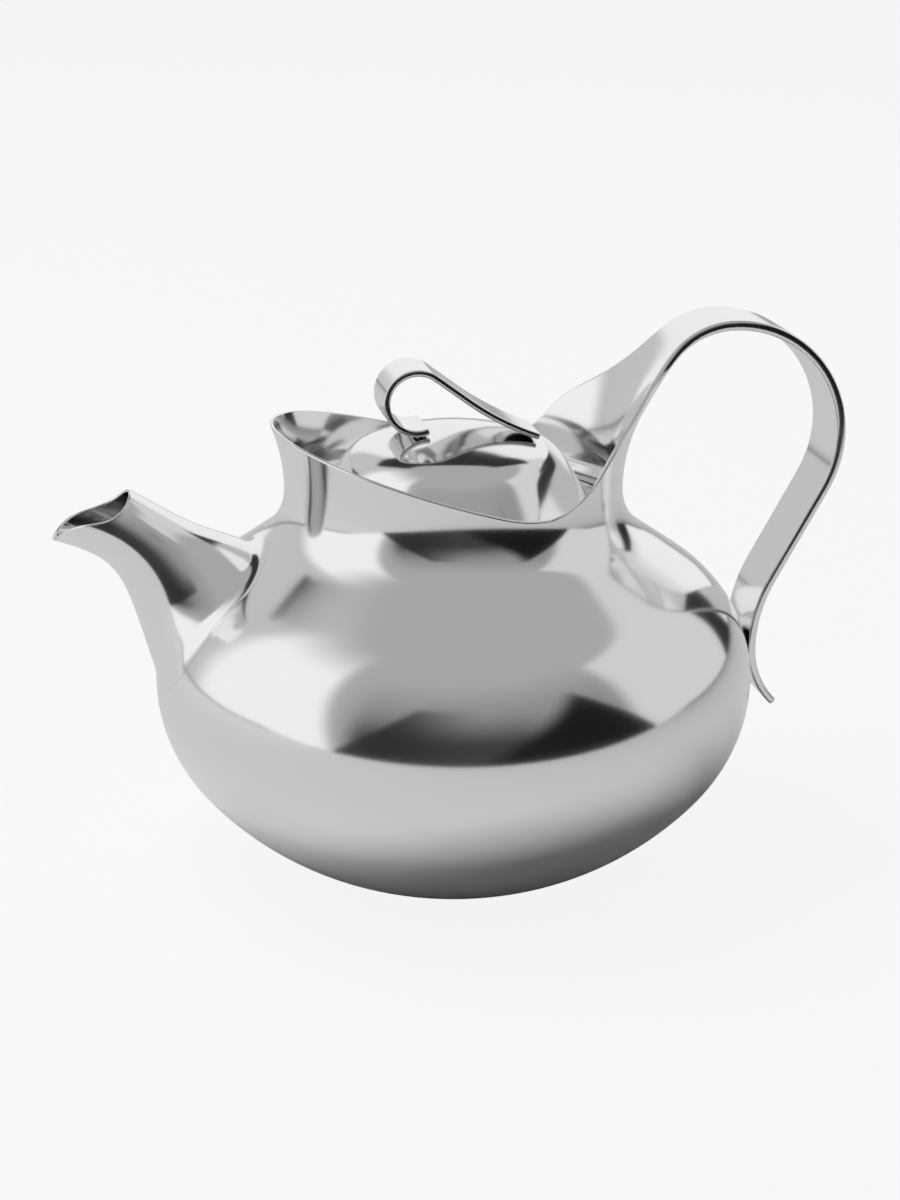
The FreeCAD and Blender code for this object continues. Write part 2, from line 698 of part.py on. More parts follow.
def make_lid_dome():
    """Pressed lid: crown, shoulder, steep flank and the brim that sits on the seat."""
    body = new_body("lid_dome")
    outer_crown, outer_shoulder = lid_curve(as_size(0))
    inner_crown, inner_shoulder = lid_curve(s.wall)
    sketch = new_sketch(body, "lid_outline", "XZ_Plane")
    draw(sketch, [
        (0, lid_top), (s.lid_crown, -1),
        outer_crown, (s.lid_shoulder, -1),
        outer_shoulder, LINE,
        flank_foot, LINE,
        (brim_radius, brim_top), LINE,
        (brim_radius, seat_height), LINE,
        (lid_corner(s.lid_shoulder - s.wall, seat_height), seat_height), LINE,
        inner_shoulder, (s.lid_shoulder - s.wall, 1),
        inner_crown, (s.lid_crown - s.wall, 1),
        (0, lid_top - s.wall), LINE,
    ])
    revolve(body, sketch)
    holes = new_sketch(body, "stud_holes", "XY_Plane")
    for side in SIDES:
        draw_circle(holes, stud_x, s.stud_spacing * side / 2, s.stud_radius + s.stud_play)
    cut_through(body, holes)
    return body


def make_bezel():
    """Ring under the brim that keeps the lid centred in its seat."""
    body = new_body("lid_bezel")
    outer = seat_inside - s.bezel_gap
    low = seat_height - s.bezel_depth
    sketch = new_sketch(body, "bezel_outline", "XZ_Plane")
    draw(sketch, [
        (outer - s.wall, low), LINE,
        (outer, low), LINE,
        (outer, seat_height), LINE,
        (outer - s.wall, seat_height), LINE,
    ])
    revolve(body, sketch)
    return body


def make_knob():
    """Ribbon bent into a loop, with a tail that comes down on to the lid."""
    body = new_body("lid_knob")
    outer = s.knob_radius
    inner = outer - s.knob_thickness
    x, z = knob_centre
    fall = (sine(s.knob_slope), cosine(s.knob_slope))
    curl = (sine(s.knob_curl_turn), cosine(s.knob_curl_turn))
    end = (sine(s.knob_tail_slope), cosine(s.knob_tail_slope))
    line = (fall[1] * s.knob_line, -(fall[0] * s.knob_line))
    upper_sweep = s.knob_tail_radius
    lower_sweep = upper_sweep + s.knob_thickness
    upper_start = (x + fall[0] * outer, z + fall[1] * outer)
    lower_start = (x + fall[0] * inner, z + fall[1] * inner)
    upper_bend = (upper_start[0] + line[0], upper_start[1] + line[1])
    lower_bend = (lower_start[0] + line[0], lower_start[1] + line[1])
    turn = (fall[0] - end[0], fall[1] - end[1])
    upper_end = (upper_bend[0] + turn[0] * upper_sweep, upper_bend[1] + turn[1] * upper_sweep)
    lower_end = (lower_bend[0] + turn[0] * lower_sweep, lower_bend[1] + turn[1] * lower_sweep)
    sketch = new_sketch(body, "ribbon_outline", "XZ_Plane")
    draw(sketch, [
        (x + curl[0] * outer, z - curl[1] * outer), (outer, -1),
        (x - outer, z), (outer, -1),
        (x, z + outer), (outer, -1),
        upper_start, LINE,
        upper_bend, (upper_sweep, 1),
        upper_end, LINE,
        lower_end, (lower_sweep, -1),
        lower_bend, LINE,
        lower_start, (inner, 1),
        (x, z + inner), (inner, 1),
        (x - inner, z), (inner, 1),
        (x + curl[0] * inner, z - curl[1] * inner), LINE,
    ])
    pad(body, sketch, s.knob_width, both_ways=True)
    return body


# Fixings of the knob, two of each
def new_solid(kind, name, sizes, side, base):
    solid = document.addObject(kind, name)
    for prop, item in sizes:
        bind(solid, prop, item)
    bind(solid, "Placement.Base.x", stud_x)
    bind(solid, "Placement.Base.y", s.stud_spacing * side / 2)
    bind(solid, "Placement.Base.z", base)
    return solid


def drill(solid, side, length, base):
    bore_sizes = [("Radius", s.stud_radius + s.stud_play), ("Height", length)]
    cut = document.addObject("Part::Cut", f"{solid.Name}_drilled")
    cut.Base = solid
    cut.Tool = new_solid("Part::Cylinder", f"{solid.Name}_bore", bore_sizes, side, base)
    return cut


def make_pair(label, make_one):
    pair = document.addObject("Part::Compound", label)
    pair.Label = label
    pair.Links = [make_one(side) for side in SIDES]
    return pair


def make_stud(side):
    sizes = [("Radius", s.stud_radius), ("Height", s.stud_length)]
    return new_solid("Part::Cylinder", "stud", sizes, side, stud_top - s.stud_length)


def make_washer(side):
    base = stud_foot - s.washer_drop - s.washer_thickness
    sizes = [("Radius", s.washer_radius), ("Height", s.washer_thickness)]
    return drill(new_solid("Part::Cylinder", "washer", sizes, side, base), side, s.washer_thickness, base)


def make_nut(side):
    base = stud_foot - s.washer_drop - s.washer_thickness - s.nut_thickness
    sizes = [("Circumradius", s.nut_radius), ("Height", s.nut_thickness)]
    return drill(new_solid("Part::Prism", "nut", sizes, side, base), side, s.nut_thickness, base)


def check(item):
    """Stop if an object failed to build."""
    if "Invalid" in item.State or "Error" in item.State:
        raise RuntimeError(f"{item.Label} did not build: {item.State}")


def main():
    envelope = make_envelope()
    pieces = [
        make_lower_bowl(),
        make_upper_body(),
        make_handle(),
        make_strainer(),
        make_seat(),
        make_lid_dome(),
        make_bezel(),
        make_knob(),
        make_pair("knob_studs", make_stud),
        make_pair("knob_washers", make_washer),
        make_pair("knob_nuts", make_nut),
    ]
    document.recompute()
    check(envelope)
    pieces.append(make_spout(envelope))
    document.recompute()
    for item in document.Objects:
        check(item)
    os.makedirs("parts", exist_ok=True)
    for piece in pieces:
        if piece.Shape.isNull() or not piece.Shape.isValid():
            raise RuntimeError(f"{piece.Label} has no valid shape")
        piece.Shape.exportStep(f"parts/{piece.Label}.step")
        solids = len(piece.Shape.Solids)
        print(f"{piece.Label}: {solids} solid, {piece.Shape.Volume:.0f} mm3")


main()
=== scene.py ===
"""Polished metal teapot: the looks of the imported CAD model, laid out as a Blender add-on."""

import math
from collections import namedtuple

import bpy
import numpy as np
from bpy.props import FloatProperty, FloatVectorProperty, IntProperty, PointerProperty
from bpy.types import Operator, Panel, PropertyGroup
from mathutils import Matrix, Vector


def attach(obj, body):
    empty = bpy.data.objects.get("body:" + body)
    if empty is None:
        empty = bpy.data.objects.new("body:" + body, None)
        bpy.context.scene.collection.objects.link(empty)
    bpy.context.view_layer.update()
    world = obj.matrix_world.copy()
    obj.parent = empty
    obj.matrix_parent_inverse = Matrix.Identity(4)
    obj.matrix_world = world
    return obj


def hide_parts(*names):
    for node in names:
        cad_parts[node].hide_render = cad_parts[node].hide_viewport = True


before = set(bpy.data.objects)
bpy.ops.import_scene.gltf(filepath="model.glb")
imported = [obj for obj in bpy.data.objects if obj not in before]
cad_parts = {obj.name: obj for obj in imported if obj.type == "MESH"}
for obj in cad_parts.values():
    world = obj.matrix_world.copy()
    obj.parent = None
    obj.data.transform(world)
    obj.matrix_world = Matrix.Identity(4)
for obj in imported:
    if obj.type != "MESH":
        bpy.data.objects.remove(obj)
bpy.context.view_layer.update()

bl_info = {
    "name": "Polished teapot",
    "version": (1, 0, 0),
    "blender": (4, 5, 0),
    "location": "3D View > Sidebar > Teapot",
    "description": "Builds a polished metal teapot piece by piece over its CAD model",
    "category": "Add Mesh",
}

MM = 0.001
WELD = 1e-6
TINY = 1e-15
LINE_STEP = 0.2 * MM
ARC_STEP = math.radians(0.5)
ROW_STEP = 1.2 * MM
LID_ROW_STEP = ROW_STEP / 2
KNOB_ROW_STEP = ROW_STEP / 3
COLUMNS = 240
SPOUT_COLUMNS = 120
ROLL_STEPS = 10
RING_STEPS = 48
SEARCH_STEPS = 40
BLUR_PASSES = 2

# Softened edges: 1 is round, and smaller values are squarer
RIM_SQUARENESS = 0.9
LIP_SQUARENESS = 0.8
RIBBON_SQUARENESS = 0.7
RING_SQUARENESS = 0.25


# Settings
def length(label, millimetres, words):
    size = millimetres * MM
    return FloatProperty(name=label, description=words, default=size, unit="LENGTH", precision=5)


def angle(label, degrees, words):
    return FloatProperty(name=label, description=words, default=math.radians(degrees), subtype="ANGLE")


def amount(label, value, words):
    return FloatProperty(name=label, description=words, default=value, precision=4)


def colour(label, value, words):
    limits = {"min": 0.0, "max": 1.0}
    return FloatVectorProperty(name=label, description=words, default=value, subtype="COLOR", **limits)


class TeapotBody(PropertyGroup):
    """Sizes of bowl, shoulder and neck."""

    wall: length("Wall", 1.0, "Sheet thickness of body, spout and lid")
    base_radius: length("Base radius", 36.5, "Flat base that the pot stands on")
    belly_radius: length("Belly radius", 85.0, "Widest outside radius")
    belly_height: length("Belly height", 55.0, "Height of the girth seam")
    lower_curve: length("Lower curve", 44.0, "Radius of the curve just under the girth")
    lower_turn: angle("Lower turn", 40.0, "How far the curve under the girth runs")
    neck_radius: length("Neck radius", 47.5, "Outside radius of the neck at its waist")
    neck_height: length("Neck height", 110.0, "Height of the neck's waist")
    neck_fillet: length("Neck fillet", 17.0, "Hollow curve from shoulder to neck")
    shoulder_slope: angle("Shoulder slope", 35.0, "Slope of the shoulder from level")
    rim_low_x: length("Rim's low point", 18.0, "Where the rim is lowest, towards the handle")
    rim_lip: length("Rim lip", 1.3, "Rim's lowest point above the neck's waist")
    rim_slope: angle("Rim slope", 16.2, "Fall of the rim from the spout side")
    rim_bend: length("Rim bend", 50.0, "Side-view radius of the rim's lowest stretch")
    softness: length("Softness", 9.0, "Length over which one curve of the body passes into the next")


class TeapotHandle(PropertyGroup):
    """Sizes of the strap handle."""

    rise: length("Rise", 45.7, "Handle's upper face above the neck's waist")
    crown_offset: length("Crown offset", 30.3, "Highest point, out from the neck")
    crown_radius: length("Crown radius", 24.4, "Upper face radius on the neck side of the highest point")
    finger_room: length("Finger room", 24.2, "Clear width between belly and handle")
    fall_length: length("Fall", 30.0, "Straight stretch of the falling strap")
    foot_rise: length("Foot rise", 4.0, "Where the strap meets the belly, above the girth")
    foot_gap: length("Foot gap", 0.3, "Solder gap between strap and belly")
    tail_radius: length("Tail radius", 22.6, "Outer radius of the tail's curl")
    tail_turn: angle("Tail turn", 43.5, "Turn of the tail's curl")
    width: length("Width", 21.5, "Width of the strap")
    thickness: length("Thickness", 2.8, "Thickness of the strap")
    tail_thickness: length("Tail thickness", 2.2, "Thickness of the strap at the tip of its tail")
    rise_bend: length("Rise bend", 20.0, "Side-view radius where the rim turns up into the handle")
    rise_steepness: amount("Rise steepness", 1.82, "Climb of the rim, as a multiple of the straight way up")
    flare: length("Flare", 16.0, "Plan radius where the strap widens to its root")
    flare_start: length("Flare start", 12.0, "Where the strap starts to widen, back from the highest point")
    flare_turn: angle("Flare turn", 47.5, "Spread of the root's edges")
    edge_depth: length("Edge depth", 0.9, "Depth of the softened edges")
    edge_softness: length("Edge softness", 24.0, "Length over which the free edge changes its sweep")


class TeapotSpout(PropertyGroup):
    """Sizes of the spout and the strainer behind it."""

    lip_back_drop: length("Lip back drop", 5.0, "Lip's fall just in front of the mouth's back edge")
    lip_front_rise: length("Lip front rise", 4.6, "Lip above the beak's underside, near its tip")
    lip_front_back: length("Lip front back", 6.1, "Where the lip has that rise, back from the tip")
    fillet: length("Fillet", 3.2, "Width of the solder fillet on spout and body")
    opening_margin: length("Opening margin", 2.5, "Strainer's overlap on the opening in the body")
    sieve_thickness: length("Strainer thickness", 0.8, "Thickness of the strainer plate")
    sieve_gap: length("Strainer gap", 0.3, "Strainer's edge to the spout's wall")
    sieve_hole: length("Strainer hole", 1.3, "Radius of the strainer's holes")
    sieve_pitch: length("Strainer pitch", 4.8, "Spacing of the rings of holes")
    sieve_rings: IntProperty(name="Strainer rings", description="Rings about the middle hole", default=2)


class TeapotLid(PropertyGroup):
    """Sizes of lid, seat and locating ring."""

    rise: length("Rise", 17.3, "Lid's highest point above the neck's waist")
    crown: length("Crown", 72.0, "Outside radius of the crown")
    shoulder: length("Shoulder", 13.6, "Outside radius of the shoulder")
    flank_slope: angle("Flank slope", 58.0, "Slope of the flank from level")
    brim: length("Brim", 5.8, "Width of the flat brim")
    gap: length("Gap", 0.8, "Brim to the neck's inner wall")
    softness: length("Softness", 4.0, "Length over which one curve of the lid passes into the next")
    seat_drop: length("Seat drop", 7.0, "Seat's upper face under the neck's waist")
    seat_ledge: length("Seat ledge", 6.5, "Seat's inner edge, in from the neck's outside")
    seat_thickness: length("Seat thickness", 1.2, "Thickness of the seat ring")
    seat_gap: length("Seat gap", 0.1, "Solder gap from seat to neck wall")
    ring_gap: length("Ring gap", 0.4, "Locating ring to the seat")
    ring_depth: length("Ring depth", 8.0, "Depth of the locating ring")


class TeapotKnob(PropertyGroup):
    """Sizes of the ribbon knob and its fixings."""

    radius: length("Radius", 9.4, "Outside radius of the loop")
    back: length("Back", 11.6, "Loop's middle, from the pot's axis towards the spout")
    thickness: length("Thickness", 1.8, "Thickness of the ribbon")
    width: length("Width", 17.0, "Width of the ribbon")
    slope: angle("Slope", 37.0, "Fall of the ribbon from the loop")
    line: length("Line", 11.2, "Straight stretch of the ribbon")
    tail_radius: length("Tail radius", 78.0, "Upper face radius of the tail")
    tail_slope: angle("Tail slope", 20.0, "Slope at the tail's end")
    curl_turn: angle("Curl", 22.0, "How far the loop runs on past its lowest point")
    edge_depth: length("Edge depth", 0.5, "Depth of the softened edges")
    softness: length("Softness", 3.0, "Length over which one curve of the ribbon passes into the next")
    stud_radius: length("Stud radius", 1.5, "Fixing studs")
    stud_spacing: length("Stud spacing", 10.0, "Distance between the two studs")
    stud_length: length("Stud length", 6.0, "Length of the studs")
    stud_sink: length("Stud sink", 0.25, "Studs' heads under the lid's surface")
    thread_pitch: length("Thread pitch", 0.5, "Spacing of the studs' threads")
    play: length("Play", 0.2, "Hole radius over stud radius")
    washer_radius: length("Washer radius", 3.5, "Outside radius of the washers")
    washer_thickness: length("Washer thickness", 0.5, "Thickness of the washers")
    washer_drop: length("Washer drop", 2.1, "Washers' upper faces under the lid's surface")
    nut_radius: length("Nut radius", 3.1, "Nuts, middle to corner")
    nut_thickness: length("Nut thickness", 2.4, "Thickness of the nuts")


class TeapotFinish(PropertyGroup):
    """Colours and polish."""

    silver: colour("Silver", (0.955, 0.955, 0.95), "Polished metal")
    tarnish: colour("Tarnish", (0.88, 0.875, 0.865), "Faint film left by handling")
    polish: amount("Polish", 0.03, "Roughness of the polished metal")
    polish_spread: amount("Polish spread", 0.015, "How far its roughness varies")
    polish_scale: amount("Polish scale", 25.0, "Fineness of the film on it")
    satin: colour("Satin", (0.72, 0.71, 0.70), "Unpolished inside")
    satin_roughness: amount("Satin roughness", 0.30, "Roughness of the inside")
    satin_spread: amount("Satin spread", 0.08, "How far its roughness varies")
    satin_scale: amount("Satin scale", 60.0, "Fineness of the film on it")
    steel: colour("Steel", (0.60, 0.60, 0.61), "Studs, washers and nuts")
    steel_roughness: amount("Steel roughness", 0.25, "Roughness of the fixings")
    steel_spread: amount("Steel spread", 0.06, "How far their roughness varies")
    steel_scale: amount("Steel scale", 200.0, "Fineness of the film on them")


class TeapotStage(PropertyGroup):
    """Floor, light and camera."""

    background: amount("Background", 0.93, "Brightness of floor and backdrop to the camera")
    floor_glow: amount("Floor glow", 0.966, "Glow that evens the floor out with the backdrop, to the camera")
    floor_shadow: amount("Floor shadow", 0.08, "Share of the floor's own shading that the camera sees")
    floor_colour: colour("Floor", (0.8, 0.8, 0.8), "Pale table top")
    floor_front: length("Floor front", 400.0, "Table's front edge from the pot's axis")
    floor_reach: length("Floor reach", 5000.0, "Table's other edges from the pot's axis")
    room_light: amount("Room light", 0.12, "Even light of the room on the floor")
    lamp_power: amount("Lamp", 72.0, "Soft lamp high at the spout's side, in watts")
    lamp_size: length("Lamp size", 2500.0, "Width of the soft lamp")
    lamp_place: FloatVectorProperty(
        name="Lamp place", description="Place of the lamp, in widths of it", default=(-0.45, 0.1, 1.1),
    )
    lens: amount("Lens", 73.5, "Focal length in millimetres")
    distance: length("Distance", 700.0, "Camera to the point it looks at")
    azimuth: angle("Azimuth", -11.5, "Camera's turn about the pot")
    elevation: angle("Elevation", 18.3, "Camera's height above level")
    target: length("Target", 75.0, "Height of the point that the camera looks at")
    shift_x: amount("Shift across", -0.0028, "Picture's shift across, in picture widths")
    shift_y: amount("Shift up", 0.0026, "Picture's shift up, in picture widths")


SETTINGS = {
    "teapot_body": TeapotBody,
    "teapot_handle": TeapotHandle,
    "teapot_spout": TeapotSpout,
    "teapot_lid": TeapotLid,
    "teapot_knob": TeapotKnob,
    "teapot_finish": TeapotFinish,
    "teapot_stage": TeapotStage,
}


# Side-view lines
def arc(centre, radius, start, end):
    """Points along an arc, angles in radians."""
    count = max(2, math.ceil(abs(end - start) / ARC_STEP))
    turns = np.linspace(start, end, count + 1)
    return np.stack([centre[0] + radius * np.cos(turns), centre[1] + radius * np.sin(turns)], axis=1)


def eased(share):
    """Share from 0 to 1 that leaves both ends level."""
    share = np.clip(share, 0.0, 1.0)
    return share * share * (3 - 2 * share)


def soften(values, softness, step):
    """Moving averages over a length, whose ends carry straight on."""
    half = max(1, round(softness / step / (2 * BLUR_PASSES)))
    width = 2 * half + 1
    for _ in range(BLUR_PASSES):
        before = 2 * values[0] - values[half:0:-1]
        after = 2 * values[-1] - values[-2:-half - 2:-1]
        total = np.concatenate([[0.0], np.cumsum(np.concatenate([before, values, after]))])
        values = (total[width:] - total[:-width]) / width
    return values


class Line:
    """Side view of a sheet's face: places by distance along it, with curvature that changes gently."""

    def __init__(self, runs, softness, side=1):
        points = np.concatenate([np.asarray(run, float) for run in runs])
        steps = np.hypot(*np.diff(points, axis=0).T)
        keep = np.concatenate([[True], steps > WELD / 10])
        points = points[keep]
        gone = np.concatenate([[0.0], np.cumsum(np.hypot(*np.diff(points, axis=0).T))])
        self.end = gone[-1]
        self.marks = [self._mark(points, gone, run[-1]) for run in runs]
        count = math.ceil(self.end / LINE_STEP)
        self.s = np.linspace(0.0, self.end, count + 1)
        step = self.s[1]
        old = np.stack([np.interp(self.s, gone, points[:, axis]) for axis in (0, 1)], axis=1)
        heading = np.unwrap(np.arctan2(*np.diff(old, axis=0).T[::-1]))
        heading = soften(heading, softness, step)
        moves = np.stack([np.cos(heading), np.sin(heading)], axis=1) * step
        new = np.concatenate([old[:1], old[0] + np.cumsum(moves, axis=0)])
        self.points = new + self._pull(old - new, [0.0] + self.marks)
        along = np.gradient(self.points, axis=0)
        along /= np.hypot(*along.T)[:, None]
        self.out = np.stack([along[:, 1], -along[:, 0]], axis=1) * side
        if self.points[0, 0] < WELD:
            self.out[0] = (0.0, math.copysign(1.0, self.out[0, 1]))

    @staticmethod
    def _mark(points, gone, place):
        return gone[np.argmin(np.hypot(*(points - place).T))]

    def _pull(self, error, pins):
        """Smooth shift that brings the softened line back to its pinned places."""
        shift = np.zeros_like(error)
        for first, last in zip(pins, pins[1:]):
            inside = (self.s >= first) & (self.s <= last)
            share = eased((self.s[inside] - first) / (last - first))
            ends = [error[np.argmin(np.abs(self.s - pin))] for pin in (first, last)]
            shift[inside] = ends[0] + (ends[1] - ends[0]) * share[:, None]
        return shift

    def at(self, s):
        """Distance from the axis, height, and the face's outward direction."""
        x, z = (np.interp(s, self.s, self.points[:, axis]) for axis in (0, 1))
        out, up = (np.interp(s, self.s, self.out[:, axis]) for axis in (0, 1))
        size = math.hypot(out, up)
        return float(x), float(z), float(out / size), float(up / size)


def bisect(low, high, inside):
    """Last place from low towards high for which the test holds."""
    for _ in range(SEARCH_STEPS):
        middle = (low + high) / 2
        if inside(middle):
            low = middle
        else:
            high = middle
    return low


def stations(start, end, step):
    """Even places from start to end, no further apart than the step."""
    count = max(1, math.ceil(abs(end - start) / step))
    return [start + (end - start) * place / count for place in range(count + 1)]


def under(place, thickness):
    """The sheet's other face."""
    x, z, out, up = place
    return x - out * thickness, z - up * thickness, -out, -up


def turned(place, turn):
    """A side-view place turned about the pot's axis: point and direction."""
    x, z, out, up = place
    cosine = math.cos(turn)
    sine = math.sin(turn)
    return (x * cosine, x * sine, z), (out * cosine, out * sine, up)


# Meshes
class Shell:
    """Faces with a direction at every corner, gathered into one mesh."""

    def __init__(self):
        self.known = {}
        self.points = []
        self.faces = []
        self.directions = []

    def index(self, point):
        key = tuple(round(part / WELD) for part in point)
        if key not in self.known:
            self.known[key] = len(self.points)
            self.points.append(tuple(point))
        return self.known[key]

    def face(self, corners):
        loop = {}
        for point, direction in corners:
            loop.setdefault(self.index(point), Vector(direction))
        if len(loop) < 3:
            return
        order = list(loop)
        places = [Vector(self.points[index]) for index in order]
        flat = (places[2] - places[0]).cross(places[-1] - places[1])
        if flat.dot(sum(loop.values(), Vector())) < 0:
            order.reverse()
        self.faces.append(order)
        self.directions.extend(loop[index] for index in order)

    def grid(self, rows):
        """Rows of (point, direction); all rows have the same number of places."""
        for row, following in zip(rows, rows[1:]):
            for corners in zip(row, row[1:], following[1:], following):
                self.face(corners)

    def strip(self, first, second, direction):
        """Flat strip between two rows of points."""
        self.grid([[(point, direction) for point, _ in row] for row in (first, second)])

    def roll(self, outer, inner, ways, depth, squareness):
        """Softened edge between the outer and the inner face, bulging along the given ways."""
        rows = []
        for (start, _), (end, _), way in zip(outer, inner, ways):
            start = Vector(start)
            end = Vector(end)
            middle = (start + end) / 2
            half = (start - end) / 2
            size = half.length
            reach = min(depth, size)
            row = []
            for step in range(ROLL_STEPS + 1):
                turn = math.pi * step / ROLL_STEPS
                cosine = math.cos(turn)
                sine = abs(math.sin(turn))
                across = math.copysign(abs(cosine) ** squareness, cosine)
                ahead = sine ** squareness if step not in (0, ROLL_STEPS) else 0.0
                point = middle + half * across + way * reach * ahead
                lean = math.copysign(abs(cosine) ** (2 - squareness), cosine) / size
                direction = half / size * lean + way * sine ** (2 - squareness) / reach
                row.append((tuple(point), direction.normalized()))
            row[0] = (tuple(start), row[0][1])
            row[-1] = (tuple(end), row[-1][1])
            rows.append(row)
        self.grid(rows)
        return rows

    def make(self, name, finish):
        mesh = bpy.data.meshes.new(name)
        mesh.from_pydata(self.points, [], self.faces)
        mesh.shade_smooth()
        mesh.normals_split_custom_set(self.directions)
        mesh.materials.append(finish)
        piece = bpy.data.objects.new(name, mesh)
        bpy.context.scene.collection.objects.link(piece)
        return piece


def edge_ways(row, closed=False):
    """Directions that lead off a face across its edge, one for each place of the edge's row."""
    count = len(row)
    ways = []
    for place, (_, lean) in enumerate(row):
        before = place - 1 if closed else max(place - 1, 0)
        after = (place + 1) % count if closed else min(place + 1, count - 1)
        along = Vector(row[after][0]) - Vector(row[before][0])
        ways.append(along.cross(Vector(lean)).normalized())
    return ways


def close_end(shell, outer, inner, roll, column):
    """Flat end over one column of both faces and the softened edge that joins them."""
    wall = [row[column] for row in outer] + roll[1:-1] + [row[column] for row in reversed(inner)]
    points = [point for point, _ in wall]
    beside = 1 if column == 0 else column - 1
    direction = Vector(outer[-1][column][0]) - Vector(outer[-1][beside][0])
    middle = tuple(sum(part) / len(points) for part in zip(*points))
    for corners in zip([middle] * len(points), points, points[1:] + points[:1]):
        shell.face([(corner, direction) for corner in corners])


def grid_rows(points):
    """Rows of (point, direction) for an array of points that closes on itself along each row."""
    ring = np.concatenate([points[:, -1:], points, points[:, :1]], axis=1)
    across = ring[:, 2:] - ring[:, :-2]
    along = np.gradient(points, axis=0)
    direction = np.cross(across, along)
    size = np.linalg.norm(direction, axis=2, keepdims=True)
    direction = direction / np.maximum(size, TINY)
    rows = []
    for row, leans in zip(points, direction):
        pairs = [(tuple(point), tuple(lean)) for point, lean in zip(row, leans)]
        rows.append(pairs + pairs[:1])
    return rows


def flip(rows):
    """Rows with their directions turned round."""
    return [[(point, tuple(-part for part in direction)) for point, direction in row] for row in rows]


def lathe(shell, places):
    """Turn side-view places all the way round."""
    turns = [2 * math.pi * column / COLUMNS for column in range(COLUMNS)]
    rows = [[turned(place, turn) for turn in turns + turns[:1]] for place in places]
    shell.grid(rows)
    return rows


def turned_ring(shell, low, high):
    """Ring with softened edges, from two corners of its side-view section."""
    middle = [(a + b) / 2 for a, b in zip(low, high)]
    half = [(b - a) / 2 for a, b in zip(low, high)]
    places = []
    for step in range(RING_STEPS + 1):
        turn = 2 * math.pi * (step % RING_STEPS) / RING_STEPS
        parts = []
        leans = []
        for wave, size in ((math.cos(turn), half[0]), (math.sin(turn), half[1])):
            wave = 0.0 if abs(wave) < WELD else wave
            parts.append(math.copysign(abs(wave) ** RING_SQUARENESS, wave) * size)
            leans.append(math.copysign(abs(wave) ** (2 - RING_SQUARENESS), wave) / size)
        size = math.hypot(*leans)
        places.append((middle[0] + parts[0], middle[1] + parts[1], leans[0] / size, leans[1] / size))
    lathe(shell, places)


def dress(piece, body, slot, *nodes):
    """Tie a finished piece to its CAD body and hide the CAD nodes that it stands for."""
    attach(piece, body)
    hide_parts(*nodes)


class Piece:
    """What the operators share: each builds its own part of the scene."""

    def execute(self, context):
        self.build(context.scene)
        return {"FINISHED"}


